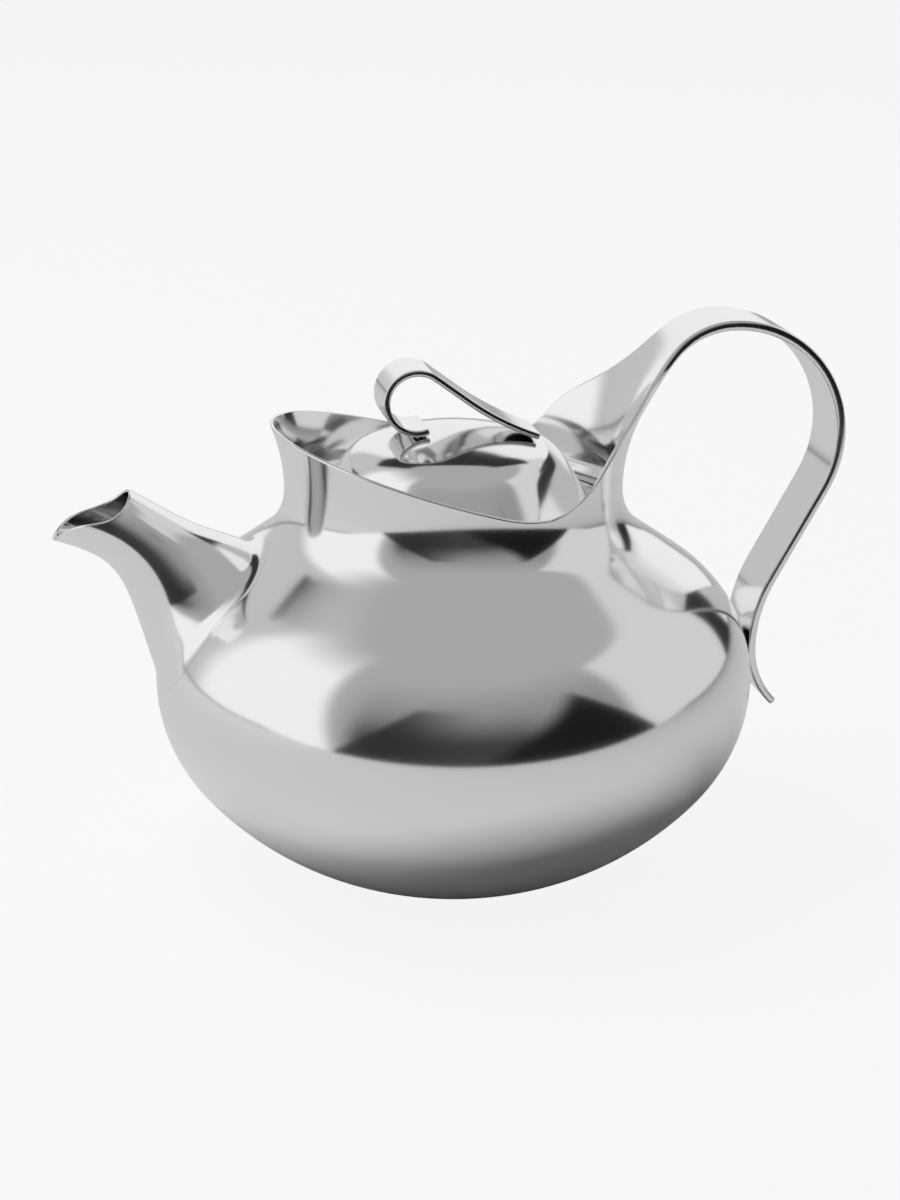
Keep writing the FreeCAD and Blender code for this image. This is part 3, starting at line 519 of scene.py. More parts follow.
# The one line from the middle of the base up the body and round the handle to its tail
class PotLine(Line):
    """Outside of bowl, shoulder and neck, carried on along the underside of the handle."""

    GIRTH_RUN = 2
    WAIST_RUN = 4
    CROWN_RUN = 6

    def __init__(self, body, handle):
        slope = body.shoulder_slope
        turn_in = 1 - math.sin(slope)
        curves = (
            (body.neck_height - body.belly_height) * math.cos(slope)
            - (body.belly_radius - body.neck_radius) * math.sin(slope)
        ) / turn_in
        belly_curve = curves - body.neck_fillet
        runs = self._bowl_runs(body)
        belly = (body.belly_radius - belly_curve, body.belly_height)
        runs.append(arc(belly, belly_curve, 0.0, math.pi / 2 - slope))
        fillet = (body.neck_radius + body.neck_fillet, body.neck_height)
        runs.append(arc(fillet, body.neck_fillet, math.pi * 1.5 - slope, math.pi))
        self.shoulder_foot = runs[-2][-1]
        self._handle_runs(body, handle, runs)
        super().__init__(runs, body.softness)
        self.points[:, 1] = np.maximum(self.points[:, 1], 0.0)
        self.girth = self.marks[self.GIRTH_RUN]
        self.waist = self.marks[self.WAIST_RUN]
        self.crown = self.marks[self.CROWN_RUN]
        wall = (self.s >= self.girth) & (self.s <= self.waist + body.neck_fillet)
        self.wall_points = self.points[wall]
        self.wall_out = self.out[wall]

    @staticmethod
    def _bowl_runs(body):
        turn = (math.cos(body.lower_turn), -math.sin(body.lower_turn))
        curve_x = body.belly_radius - body.lower_curve
        join = (curve_x + body.lower_curve * turn[0], body.belly_height + body.lower_curve * turn[1])
        reach = (join[0] - body.base_radius, join[1])
        bottom = (reach[0] ** 2 + reach[1] ** 2) / (2 * (reach[0] * turn[0] + reach[1] * turn[1]))
        centre = (join[0] - bottom * turn[0], join[1] - bottom * turn[1])
        start = math.atan2(-centre[1], body.base_radius - centre[0])
        return [
            np.array([(0.0, 0.0), (body.base_radius, 0.0)]),
            arc(centre, bottom, start, -body.lower_turn),
            arc((curve_x, body.belly_height), body.lower_curve, -body.lower_turn, 0.0),
        ]

    def _handle_runs(self, body, handle, runs):
        thick = handle.thickness
        crown_x = body.neck_radius + handle.crown_offset
        top = body.neck_height + handle.rise
        crown_z = top - handle.crown_radius
        under_crown = handle.crown_radius - thick
        across = body.neck_radius - crown_x
        below = body.neck_height - crown_z
        flare = (under_crown ** 2 - across ** 2 - below ** 2) / (2 * (across + under_crown))
        lean = math.atan2(crown_z - body.neck_height, crown_x - body.neck_radius - flare)
        runs.append(arc((body.neck_radius + flare, body.neck_height), flare, math.pi, lean))
        runs.append(arc((crown_x, crown_z), under_crown, lean, math.pi / 2))
        loop = body.belly_radius + thick + handle.finger_room - crown_x
        loop_z = top - loop
        foot = (body.belly_radius + thick + handle.foot_gap, body.belly_height + handle.foot_rise)
        out = foot[0] - crown_x
        drop = loop_z - foot[1]
        curve = (out ** 2 + drop ** 2 - handle.fall_length ** 2 - loop ** 2) / (2 * (loop - out))
        apart = math.hypot(out + curve, drop)
        near = (loop + curve) / apart
        ahead = handle.fall_length / apart
        normal = (
            ((out + curve) * near + drop * ahead) / apart,
            ((out + curve) * ahead - drop * near) / apart,
        )
        fall = math.atan2(normal[1], normal[0])
        runs.append(arc((crown_x, loop_z), loop - thick, math.pi / 2, fall))
        runs.append(arc((foot[0] + curve, foot[1]), curve + thick, fall + math.pi, math.pi))
        tail = (foot[0] + handle.tail_radius, foot[1])
        runs.append(arc(tail, handle.tail_radius + thick, math.pi, math.pi + handle.tail_turn))
        self.crown_x = crown_x
        self.top = top

    def off_wall(self, point):
        """Distance of a point off the outside of shoulder and neck, and the nearest place there."""
        reach = math.hypot(point[0], point[1])
        gap = np.array([reach, point[2]]) - self.wall_points
        nearest = int(np.argmin((gap ** 2).sum(axis=1)))
        out = self.wall_out[nearest]
        away = float(gap[nearest] @ out)
        foot = np.array([reach, point[2]]) - away * out
        cosine = point[0] / reach
        sine = point[1] / reach
        place = np.array([foot[0] * cosine, foot[0] * sine, foot[1]])
        return away, place, np.array([out[0] * cosine, out[0] * sine, out[1]])


def pot_line(scene):
    return PotLine(scene.teapot_body, scene.teapot_handle)


def rim_height(body, x):
    """Side view of the rim on the spout's side of its lowest point."""
    low = body.neck_height + body.rim_lip
    bend_x = body.rim_low_x - body.rim_bend * math.sin(body.rim_slope)
    if x < bend_x:
        bend_z = low + body.rim_bend * (1 - math.cos(body.rim_slope))
        return bend_z + (bend_x - x) * math.tan(body.rim_slope)
    return low + body.rim_bend - math.sqrt(body.rim_bend ** 2 - (body.rim_low_x - x) ** 2)


# Bowl
class TEAPOT_OT_bowl(Piece, Operator):
    """Lower half of the body, with its flat base"""

    bl_idname = "teapot.bowl"
    bl_label = "Bowl"

    def build(self, scene):
        body = scene.teapot_body
        line = pot_line(scene)
        shell = Shell()
        places = [line.at(s) for s in stations(0.0, line.girth, ROW_STEP)]
        outer = lathe(shell, places)
        inner = lathe(shell, [under(place, body.wall) for place in places])
        shell.strip(outer[-1], inner[-1], (0, 0, 1))
        piece = shell.make("polished_bowl", polished_silver(scene))
        dress(piece, "pot", "polished_silver", "lower_bowl")


# Shoulder and neck
def open_cells(rows, middle, axis, radius):
    """Cells of the outer grid that lie in the opening, on the spout's side of the pot."""
    gone = set()
    for i in range(len(rows) - 1):
        for j in range(len(rows[i]) - 1):
            corners = [np.array(rows[i + a][j + b][0]) for a in (0, 1) for b in (0, 1)]
            centre = sum(corners) / len(corners)
            gap = centre - middle
            if centre[0] < middle[0] / 2 and np.linalg.norm(gap - (gap @ axis) * axis) < radius:
                gone.add((i, j))
    return gone


def snap(point, middle, axis, radius):
    """Nearest point on the opening's round edge."""
    gap = np.array(point) - middle
    ahead = (gap @ axis) * axis
    side = gap - ahead
    return tuple(middle + ahead + side * radius / np.linalg.norm(side))


def pierced_grid(shell, outer, inner, opening):
    """Outer and inner wall with one round opening through both."""
    middle, axis, radius = opening
    gone = open_cells(outer, middle, axis, radius)
    columns = len(outer[0]) - 1
    touching = {}
    for i in range(len(outer) - 1):
        for j in range(columns):
            for a, b in ((0, 0), (0, 1), (1, 0), (1, 1)):
                corner = (i + a, (j + b) % columns)
                touching.setdefault(corner, set()).add((i, j) in gone)
    for rows in (outer, inner):
        for (i, j), kinds in touching.items():
            if len(kinds) == 2:
                place = (snap(rows[i][j][0], middle, axis, radius), rows[i][j][1])
                rows[i][j] = place
                if j == 0:
                    rows[i][columns] = place
    for rows in (outer, inner):
        for i in range(len(rows) - 1):
            for j in range(columns):
                if (i, j) not in gone:
                    shell.face((rows[i][j], rows[i][j + 1], rows[i + 1][j + 1], rows[i + 1][j]))
    for i, j in gone:
        sides = (
            ((i - 1, j), (i, j), (i, j + 1)),
            ((i + 1, j), (i + 1, j), (i + 1, j + 1)),
            ((i, j - 1), (i, j), (i + 1, j)),
            ((i, j + 1), (i, j + 1), (i + 1, j + 1)),
        )
        for neighbour, first, second in sides:
            if neighbour in gone:
                continue
            ends = [rows[place[0]][place[1]][0] for rows, place in
                    ((outer, first), (outer, second), (inner, second), (inner, first))]
            inwards = tuple(middle - np.array(ends[0]))
            shell.face([(point, inwards) for point in ends])


def rim_columns(line, body):
    """Turns of the neck's columns, by the handle and by the rim, with one where the two meet."""
    meet = math.acos(body.rim_low_x / line.at(line.waist)[0])
    near = stations(-meet, meet, 2 * math.pi / COLUMNS)
    far = stations(meet, 2 * math.pi - meet, 2 * math.pi / COLUMNS)
    return near, far


def rising_rows(line, turns, tops, count, thickness):
    """Outer and inner rows of a wall that rises from the neck's waist to a top at every turn."""
    outer = []
    inner = []
    for row in range(count + 1):
        stops = [line.waist + (top - line.waist) * row / count for top in tops]
        places = [line.at(s) for s in stops]
        backs = [under(place, thickness(s)) for place, s in zip(places, stops)]
        outer.append([turned(place, turn) for place, turn in zip(places, turns)])
        inner.append([turned(back, turn) for back, turn in zip(backs, turns)])
    return outer, inner


class TEAPOT_OT_shoulder(Piece, Operator):
    """Shoulder and neck, with the sweeping rim and the opening behind the spout"""

    bl_idname = "teapot.shoulder"
    bl_label = "Shoulder and neck"

    def build(self, scene):
        body = scene.teapot_body
        line = pot_line(scene)
        shell = Shell()
        near, far = rim_columns(line, body)
        turns = near + far[1:]
        places = [line.at(s) for s in stations(line.girth, line.waist, ROW_STEP)]
        outer = [[turned(place, turn) for turn in turns] for place in places]
        inner = [[turned(under(place, body.wall), turn) for turn in turns] for place in places]
        shell.strip(outer[0], inner[0], (0, 0, -1))
        middle, axis, radius = sieve_place(line)
        opening = radius - body.wall - scene.teapot_spout.opening_margin
        pierced_grid(shell, outer, inner, (middle, axis, opening))
        joint = len(near)
        shell.strip(outer[-1][:joint], inner[-1][:joint], (0, 0, 1))
        self.add_rim(shell, line, body, far)
        piece = shell.make("polished_shoulder", polished_silver(scene))
        dress(piece, "pot", "polished_silver", "upper_body")

    @staticmethod
    def add_rim(shell, line, body, turns):
        """Neck above its waist, up to the softened edge of the rim."""
        half = body.wall / 2
        reach = line.waist + body.neck_height / 2
        tops = []
        for turn in turns:
            def below(s, cosine=math.cos(turn)):
                x, z, _, _ = line.at(s)
                return z < rim_height(body, x * cosine)

            tops.append(bisect(line.waist, reach, below) - half)
        count = max(2, math.ceil((max(tops) - line.waist) / ROW_STEP))
        outer, inner = rising_rows(line, turns, tops, count, lambda s: body.wall)
        shell.grid(outer)
        shell.grid(inner)
        ways = [way if way.z > 0 else -way for way in edge_ways(outer[-1])]
        rolls = shell.roll(outer[-1], inner[-1], ways, half, RIM_SQUARENESS)
        for column in (0, -1):
            close_end(shell, outer, inner, rolls[column], column)


# Handle
def climb_height(line, body, handle, x):
    """Side view of the rim's climb into the handle."""
    low = body.neck_height + body.rim_lip
    tangent = handle.rise_steepness * (line.top - low) / (line.crown_x - body.rim_low_x)
    cosine = 1 / math.hypot(1, tangent)
    bend = body.rim_low_x + handle.rise_bend * tangent * cosine
    if x > bend:
        return low + handle.rise_bend * (1 - cosine) + (x - bend) * tangent
    ahead = max(x - body.rim_low_x, 0.0)
    return low + handle.rise_bend - math.sqrt(handle.rise_bend ** 2 - ahead ** 2)


def strap_edge(line, handle, x):
    """Plan view of the strap's edge: half width at a distance from the axis."""
    half = handle.width / 2
    start = line.crown_x - handle.flare_start
    bend = start - handle.flare * math.sin(handle.flare_turn)
    if x >= start:
        return half
    if x >= bend:
        return half + handle.flare - math.sqrt(handle.flare ** 2 - (start - x) ** 2)
    spread = half + handle.flare * (1 - math.cos(handle.flare_turn))
    return spread + (bend - x) * math.tan(handle.flare_turn)


class TEAPOT_OT_handle(Piece, Operator):
    """Strap handle that grows out of the neck, loops over and curls away from the belly"""

    bl_idname = "teapot.handle"
    bl_label = "Handle"
    SPLIT = 0.45
    EDGE_PLACES = 80
    EVEN_PLACES = 320

    def build(self, scene):
        self.body = scene.teapot_body
        self.handle = scene.teapot_handle
        self.line = pot_line(scene)
        shell = Shell()
        near, _ = rim_columns(self.line, self.body)
        self.trace_edge(near[-1])
        split_turn = min((turn for turn in near if turn > 0), key=lambda turn: abs(turn - self.SPLIT))
        split = self.edge_station(split_turn)
        root = self.root_rows(near, split_turn, split)
        middle = [turn for turn in near if abs(turn) <= split_turn + WELD]
        strap = self.strap_rows(middle, split_turn, split)
        for rows in root + strap:
            shell.grid(rows)
        shell.strip(root[0][0], root[1][0], (0, 0, -1))
        self.add_edges(shell, near, split_turn, root, strap)
        piece = shell.make("ribbon_handle", polished_silver(scene))
        dress(piece, "pot", "polished_silver", "handle_strap")

    def thickness(self, s):
        """The strap's thickness: the neck's wall at its root, and thinner towards its tip."""
        line = self.line
        full = self.handle.thickness
        if s > line.crown:
            share = eased((s - line.crown) / (line.end - line.crown))
            return full + (self.handle.tail_thickness - full) * share
        share = eased((s - line.waist) / (line.crown - line.waist))
        return self.body.wall + (full - self.body.wall) * share

    def depth(self, s):
        """Depth of the softened edge."""
        return min(self.thickness(s) / 2, self.handle.edge_depth)

    def inside(self, s, turn):
        """Whether a place is within the root's free edge."""
        x, z, _, _ = self.line.at(s)
        plan = x * math.cos(turn)
        if z > climb_height(self.line, self.body, self.handle, plan):
            return False
        return x * abs(math.sin(turn)) < strap_edge(self.line, self.handle, plan)

    def trace_edge(self, meet):
        """Free edge of root and strap as turns and stations, with its corners smoothed away."""
        line = self.line
        places = []
        for turn in np.linspace(meet, self.SPLIT, self.EDGE_PLACES):
            places.append((turn, bisect(line.waist, line.crown, lambda s: self.inside(s, turn))))
        start = places[-1][1]
        for s in np.linspace(start, line.crown, self.EDGE_PLACES)[1:]:
            places.append((bisect(0.0, meet, lambda turn: self.inside(s, turn)), s))
        places = np.array(places)
        reach = self.body.neck_radius
        gone = np.hypot(np.diff(places[:, 0]) * reach, np.diff(places[:, 1]))
        gone = np.concatenate([[0.0], np.cumsum(gone)])
        even = np.linspace(0.0, gone[-1], self.EVEN_PLACES)
        softness = self.handle.edge_softness
        self.edge_turns, self.edge_stations = (
            soften(np.interp(even, gone, places[:, axis]), softness, even[1]) for axis in (0, 1)
        )

    def edge_station(self, turn):
        """How far up the line the free edge is at a turn from the handle's middle."""
        top = float(np.interp(-abs(turn), -self.edge_turns, self.edge_stations))
        return top - self.depth(top)

    def root_rows(self, turns, split_turn, split):
        """Lower part of the root, as a continuation of the neck, up to the free edge or the split."""
        tops = [split if abs(turn) <= split_turn + WELD else self.edge_station(turn) for turn in turns]
        count = math.ceil((split - self.line.waist) / ROW_STEP)
        return rising_rows(self.line, turns, tops, count, self.thickness)

    def half_width(self, s, split_turn, split):
        """Half width of the strap's flat faces, inside its softened edges."""
        x = self.line.at(s)[0]
        if s >= self.line.crown:
            return self.handle.width / 2 - self.handle.edge_depth
        turn = float(np.interp(s + self.depth(s), self.edge_stations, self.edge_turns))
        share = min((s - split) / self.body.neck_fillet, 1.0)
        inset = self.depth(s) * share
        return x * math.sin(split_turn) if s <= split else x * math.sin(turn) - inset

    def strap_rows(self, turns, split_turn, split):
        """Upper part of the root, loop and tail."""
        line = self.line
        shares = [math.sin(turn) / math.sin(split_turn) for turn in turns]
        outer = []
        inner = []
        for s in stations(split, line.crown, ROW_STEP) + stations(line.crown, line.end, ROW_STEP)[1:]:
            x, z, out, up = line.at(s)
            half = self.half_width(s, split_turn, split)
            bow = eased((line.crown - s) / (line.crown - split))
            thick = self.thickness(s)
            top = []
            bottom = []
            for share in shares:
                y = half * share
                sink = bow * (x - math.sqrt(x * x - y * y)) if s < line.crown else 0.0
                turn = math.asin(bow * y / x)
                direction = (out * math.cos(turn), out * math.sin(turn), up)
                point = (x - sink, y, z)
                top.append((point, direction))
                back = tuple(part - lean * thick for part, lean in zip(point, direction))
                bottom.append((back, tuple(-lean for lean in direction)))
            outer.append(top)
            inner.append(bottom)
        return outer, inner

    def add_edges(self, shell, turns, split_turn, root, strap):
        """Softened free edge, from one side of the rim round the tail's tip to the other side."""
        side = [place for place, turn in enumerate(turns) if turn > split_turn + WELD]
        across = range(len(strap[0][0]))
        walks = []
        for rows_root, rows_strap in zip(root, strap):
            first = [rows_root[-1][place] for place in reversed(side)]
            first += [row[-1] for row in rows_strap]
            tip = [rows_strap[-1][place] for place in reversed(across)]
            last = [row[0] for row in reversed(rows_strap)]
            last += [rows_root[-1][place] for place in reversed(range(len(side)))]
            walks.append([first, tip, last])
        depth = self.handle.edge_depth
        ends = []
        rolls = []
        for outer, inner in zip(walks[0], walks[1]):
            ways = edge_ways(outer)
            if ways[len(ways) // 2].dot(self.away(outer)) < 0:
                ways = [-way for way in ways]
            ends.append((outer, inner, ways))
            rolls.append(shell.roll(outer, inner, ways, depth, RIBBON_SQUARENESS))
        close_end(shell, *root, rolls[0][0], -1)
        close_end(shell, *root, rolls[-1][-1], 0)
        for before, after in ((0, 1), (1, 2)):
            outer = [ends[before][0][-1]] * (ROLL_STEPS + 1)
            inner = [ends[before][1][-1]] * (ROLL_STEPS + 1)
            start = ends[before][2][-1]
            stop = ends[after][2][0]
            ways = [start.slerp(stop, step / ROLL_STEPS) for step in range(ROLL_STEPS + 1)]
            shell.roll(outer, inner, ways, depth, RIBBON_SQUARENESS)

    def away(self, walk):
        """Rough direction off the strap at the middle of one stretch of its edge."""
        middle = Vector(walk[len(walk) // 2][0])
        if abs(middle.y) < self.handle.width / 4:
            return Vector((1, 0, -1))
        return Vector((0, middle.y, 0))


# Spout and strainer
# Its sections: out and up from the foot of the shoulder and half sizes in millimetres, tilt in degrees
Section = namedtuple("Section", "out up tilt half_length half_width")
SECTIONS = (
    Section(-2.7, -12.8, 42.0, 24.6, 32.0),
    Section(6.0, -1.1, 42.0, 18.6, 18.6),
    Section(12.7, 5.7, 45.7, 14.1, 14.1),
    Section(26.5, 18.2, 62.3, 10.2, 10.2),
    Section(37.8, 23.5, 58.0, 10.6, 6.0),
)
SIEVE_SECTION = 1
MOUTH_SECTION = 3
BEAK_SECTION = 4


def section_point(line, section, turn, inset):
    """Point of a spout section; turn 0 is its upper end."""
    tilt = math.radians(section.tilt)
    along = (section.half_length * MM - inset) * math.cos(turn)
    return np.array([
        -(line.shoulder_foot[0] + section.out * MM) + along * math.cos(tilt),
        (section.half_width * MM - inset) * math.sin(turn),
        line.shoulder_foot[1] + section.up * MM + along * math.sin(tilt),
    ])


def section_middle(line, section):
    return sum(section_point(line, section, turn, 0.0) for turn in (0.0, math.pi)) / 2


def sieve_place(line):
    """Middle, axis and outside radius of the spout at the strainer."""
    section = SECTIONS[SIEVE_SECTION]
    tilt = math.radians(section.tilt)
    axis = np.array([-math.sin(tilt), 0.0, math.cos(tilt)])
    return section_middle(line, section), axis, section.half_length * MM


class SpoutFace:
    """Smooth face through the spout's sections."""

    def __init__(self, line, inset):
        middles = [section_middle(line, section) for section in SECTIONS]
        gaps = [np.linalg.norm(after - before) for before, after in zip(middles, middles[1:])]
        self.knots = np.concatenate([[0.0], np.cumsum(gaps)])
        self.line = line
        self.inset = inset
        self.cache = {}

    def bends(self, turn):
        """Second derivatives of the natural cubic through the sections at one turn."""
        if turn not in self.cache:
            points = np.array([section_point(self.line, section, turn, self.inset) for section in SECTIONS])
            count = len(points)
            gaps = np.diff(self.knots)
            matrix = np.eye(count)
            target = np.zeros_like(points)
            for k in range(1, count - 1):
                matrix[k, k - 1:k + 2] = (gaps[k - 1], 2 * (gaps[k - 1] + gaps[k]), gaps[k])
                slopes = [(points[k + 1 - side] - points[k - side]) / gaps[k - side] for side in (0, 1)]
                target[k] = 6 * (slopes[0] - slopes[1])
            self.cache[turn] = points, np.linalg.solve(matrix, target)
        return self.cache[turn]

    def at(self, turn, t):
        """Point of the face at a turn, by the distance along the sections' middles."""
        points, bends = self.bends(turn)
        k = int(np.clip(np.searchsorted(self.knots, t) - 1, 0, len(self.knots) - 2))
        gap = self.knots[k + 1] - self.knots[k]
        ahead = (t - self.knots[k]) / gap
        back = 1 - ahead
        return (
            back * points[k] + ahead * points[k + 1]
            + ((back ** 3 - back) * bends[k] + (ahead ** 3 - ahead) * bends[k + 1]) * gap * gap / 6
        )


def lip_line(line, spout):
    """Side view of the lip as a smooth function of the distance towards the spout."""
    back = section_point(line, SECTIONS[MOUTH_SECTION], 0.0, 0.0)
    tip = section_point(line, SECTIONS[BEAK_SECTION], math.pi, 0.0)
    knots = np.array([
        (back[0], back[2]),
        (back[0] - spout.lip_back_drop, back[2] - spout.lip_back_drop),
        (tip[0] + spout.lip_front_back, tip[2] + spout.lip_front_rise),
        (tip[0], tip[2]),
    ])
    return np.polynomial.Polynomial.fit(knots[:, 0], knots[:, 1], 3)


class TEAPOT_OT_spout(Piece, Operator):
    """Tapered spout with a beak, run into the shoulder with a small solder fillet"""

    bl_idname = "teapot.spout"
    bl_label = "Spout"
    ROWS = 60
    FILLET_ROWS = 12
    LIFT = 0.02 * MM
    TURN_STEP = 0.01

    def build(self, scene):
        line = pot_line(scene)
        spout = scene.teapot_spout
        wall = scene.teapot_body.wall
        turns = [2 * math.pi * column / SPOUT_COLUMNS for column in range(SPOUT_COLUMNS)]
        lip = lip_line(line, spout)
        half = wall / 2
        outside = SpoutFace(line, 0.0)
        inside = SpoutFace(line, wall)
        outer_columns = [self.outer_column(line, outside, lip, turn, spout.fillet, half) for turn in turns]
        inner_columns = [self.inner_column(line, inside, lip, turn, half) for turn in turns]
        outer = flip(grid_rows(np.array(outer_columns).transpose(1, 0, 2)))
        inner = grid_rows(np.array(inner_columns).transpose(1, 0, 2))
        outer[-1] = [(point, tuple(line.off_wall(point)[2])) for point, _ in outer[-1]]
        shell = Shell()
        shell.grid(outer)
        shell.grid(inner)
        shell.strip(outer[-1], inner[-1], tuple(-part for part in line.off_wall(outer[-1][0][0])[2]))
        ways = edge_ways(outer[0][:-1], closed=True)
        if ways[0].x > 0:
            ways = [-way for way in ways]
        shell.roll(outer[0], inner[0], ways + ways[:1], half, LIP_SQUARENESS)
        piece = shell.make("beaked_spout", polished_silver(scene))
        dress(piece, "pot", "polished_silver", "spout")

    def lip_place(self, face, lip, turn, half):
        """Where the face passes the lip's line, less the softened edge."""
        def below(t):
            point = face.at(turn, t)
            return point[2] < lip(point[0])

        t = bisect(face.knots[SIEVE_SECTION], face.knots[-1], below)
        speed = np.linalg.norm(face.at(turn, t) - face.at(turn, t - half)) / half
        return t - half / speed

    def outer_column(self, line, face, lip, turn, fillet, half):
        """Points down the outside from the lip, and along the fillet on to the body."""
        lip_t = self.lip_place(face, lip, turn, half)
        foot_t = bisect(lip_t, face.knots[0], lambda t: line.off_wall(face.at(turn, t))[0] > 0)
        foot = face.at(turn, foot_t)
        speed = np.linalg.norm(face.at(turn, foot_t + MM) - foot) / MM
        start_t = foot_t + fillet / speed
        column = [face.at(turn, t) for t in np.linspace(lip_t, start_t, self.ROWS)]
        start = column[-1]
        ahead = face.at(turn + self.TURN_STEP, foot_t) - face.at(turn - self.TURN_STEP, foot_t)
        lean = np.cross(ahead, face.at(turn, foot_t + MM) - foot)
        _, _, out = line.off_wall(foot)
        spread = lean - (lean @ out) * out
        spread /= np.linalg.norm(spread)
        if spread @ (foot - sieve_place(line)[0]) < 0:
            spread = -spread
        _, end, out = line.off_wall(foot + spread * fillet)
        end = end + out * self.LIFT
        for step in range(1, self.FILLET_ROWS + 1):
            u = step / self.FILLET_ROWS
            column.append(start * (1 - u) ** 2 + foot * 2 * u * (1 - u) + end * u * u)
        return column

    def inner_column(self, line, face, lip, turn, half):
        """Points down the inside from the lip to the body."""
        lip_t = self.lip_place(face, lip, turn, half)
        foot_t = bisect(lip_t, face.knots[0], lambda t: line.off_wall(face.at(turn, t))[0] > self.LIFT)
        return [face.at(turn, t) for t in np.linspace(lip_t, foot_t, self.ROWS)]


# Lid, seat and ring
def lid_line(body, lid):
    """Outside of the lid from its middle to the edge of the brim."""
    top = body.neck_height + lid.rise
    centre = top - lid.crown
    brim = body.neck_radius - body.wall - lid.gap
    brim_top = body.neck_height - lid.seat_drop + body.wall
    flank = (math.sin(lid.flank_slope), math.cos(lid.flank_slope))
    foot = (brim - lid.brim, brim_top)
    offset = flank[0] * foot[0] + flank[1] * (brim_top - centre) - lid.shoulder
    run = math.sqrt((lid.crown - lid.shoulder) ** 2 - offset ** 2)
    shoulder = (flank[0] * offset - flank[1] * run, centre + flank[1] * offset + flank[0] * run)
    turn = math.atan2(shoulder[1] - centre, shoulder[0])
    runs = [
        arc((0.0, centre), lid.crown, math.pi / 2, turn),
        arc(shoulder, lid.shoulder, turn, math.pi / 2 - lid.flank_slope),
        np.array([foot, foot]),
        np.array([(brim, brim_top), (brim, brim_top)]),
    ]
    return Line(runs, lid.softness, side=-1)


class TEAPOT_OT_lid(Piece, Operator):
    """Domed lid with a steep flank and a flat brim"""

    bl_idname = "teapot.lid"
    bl_label = "Lid"

    def build(self, scene):
        wall = scene.teapot_body.wall
        line = lid_line(scene.teapot_body, scene.teapot_lid)
        half = wall / 2
        places = [line.at(s) for s in stations(0.0, line.end - half, LID_ROW_STEP)]
        shell = Shell()
        outer = lathe(shell, places)
        inner = lathe(shell, [under(place, wall) for place in places])
        ways = [Vector((point[0], point[1], 0)).normalized() for point, _ in outer[-1]]
        shell.roll(outer[-1], inner[-1], ways, half, LIP_SQUARENESS)
        piece = shell.make("domed_lid", polished_silver(scene))
        dress(piece, "lid", "polished_silver", "lid_dome")


class TEAPOT_OT_lid_seat(Piece, Operator):
    """Ring inside the neck that the lid rests on"""

    bl_idname = "teapot.lid_seat"
    bl_label = "Lid seat"

    def build(self, scene):
        body = scene.teapot_body
        lid = scene.teapot_lid
        high = body.neck_height - lid.seat_drop
        wall = body.neck_fillet + body.wall
        neck = body.neck_radius + body.neck_fillet - math.sqrt(wall ** 2 - lid.seat_drop ** 2)
        low = (body.neck_radius - lid.seat_ledge, high - lid.seat_thickness)
        shell = Shell()
        turned_ring(shell, low, (neck - lid.seat_gap, high))
        piece = shell.make("lid_seat", satin_metal(scene))
        dress(piece, "pot", "satin_metal", "lid_seat_ring")


class TEAPOT_OT_lid_ring(Piece, Operator):
    """Ring under the brim that keeps the lid centred"""

    bl_idname = "teapot.lid_ring"
    bl_label = "Locating ring"

    def build(self, scene):
        body = scene.teapot_body
        lid = scene.teapot_lid
        outer = body.neck_radius - lid.seat_ledge - lid.ring_gap
        high = body.neck_height - lid.seat_drop
        shell = Shell()
        turned_ring(shell, (outer - body.wall, high - lid.ring_depth), (outer, high))
        piece = shell.make("locating_ring", satin_metal(scene))
        dress(piece, "lid", "satin_metal", "lid_bezel")


# Knob
def knob_place(body, lid, knob):
    """Middle of the knob's loop, and where it touches the lid."""
    centre = body.neck_height + lid.rise - lid.crown
    reach = lid.crown + knob.radius
    loop = (-knob.back, centre + math.sqrt(reach ** 2 - knob.back ** 2))
    stud_x = -knob.back * lid.crown / reach
    return loop, (stud_x, centre + math.sqrt(lid.crown ** 2 - stud_x ** 2))


def knob_line(body, lid, knob):
    """Upper face of the ribbon, from the curled end round the loop to the end of the tail."""
    (x, z), _ = knob_place(body, lid, knob)
    start = -math.pi / 2 + knob.curl_turn
    stop = math.pi / 2 - knob.slope
    bend = (math.cos(knob.slope), -math.sin(knob.slope))
    loop = arc((x, z), knob.radius, start, stop - 2 * math.pi)
    foot = loop[-1] + np.array(bend) * knob.line
    sweep = (foot[0] + math.cos(stop) * knob.tail_radius, foot[1] + math.sin(stop) * knob.tail_radius)
    tail = arc(sweep, knob.tail_radius, stop + math.pi, math.pi * 1.5 - knob.tail_slope)
    return Line([loop, tail], knob.softness, side=-1)


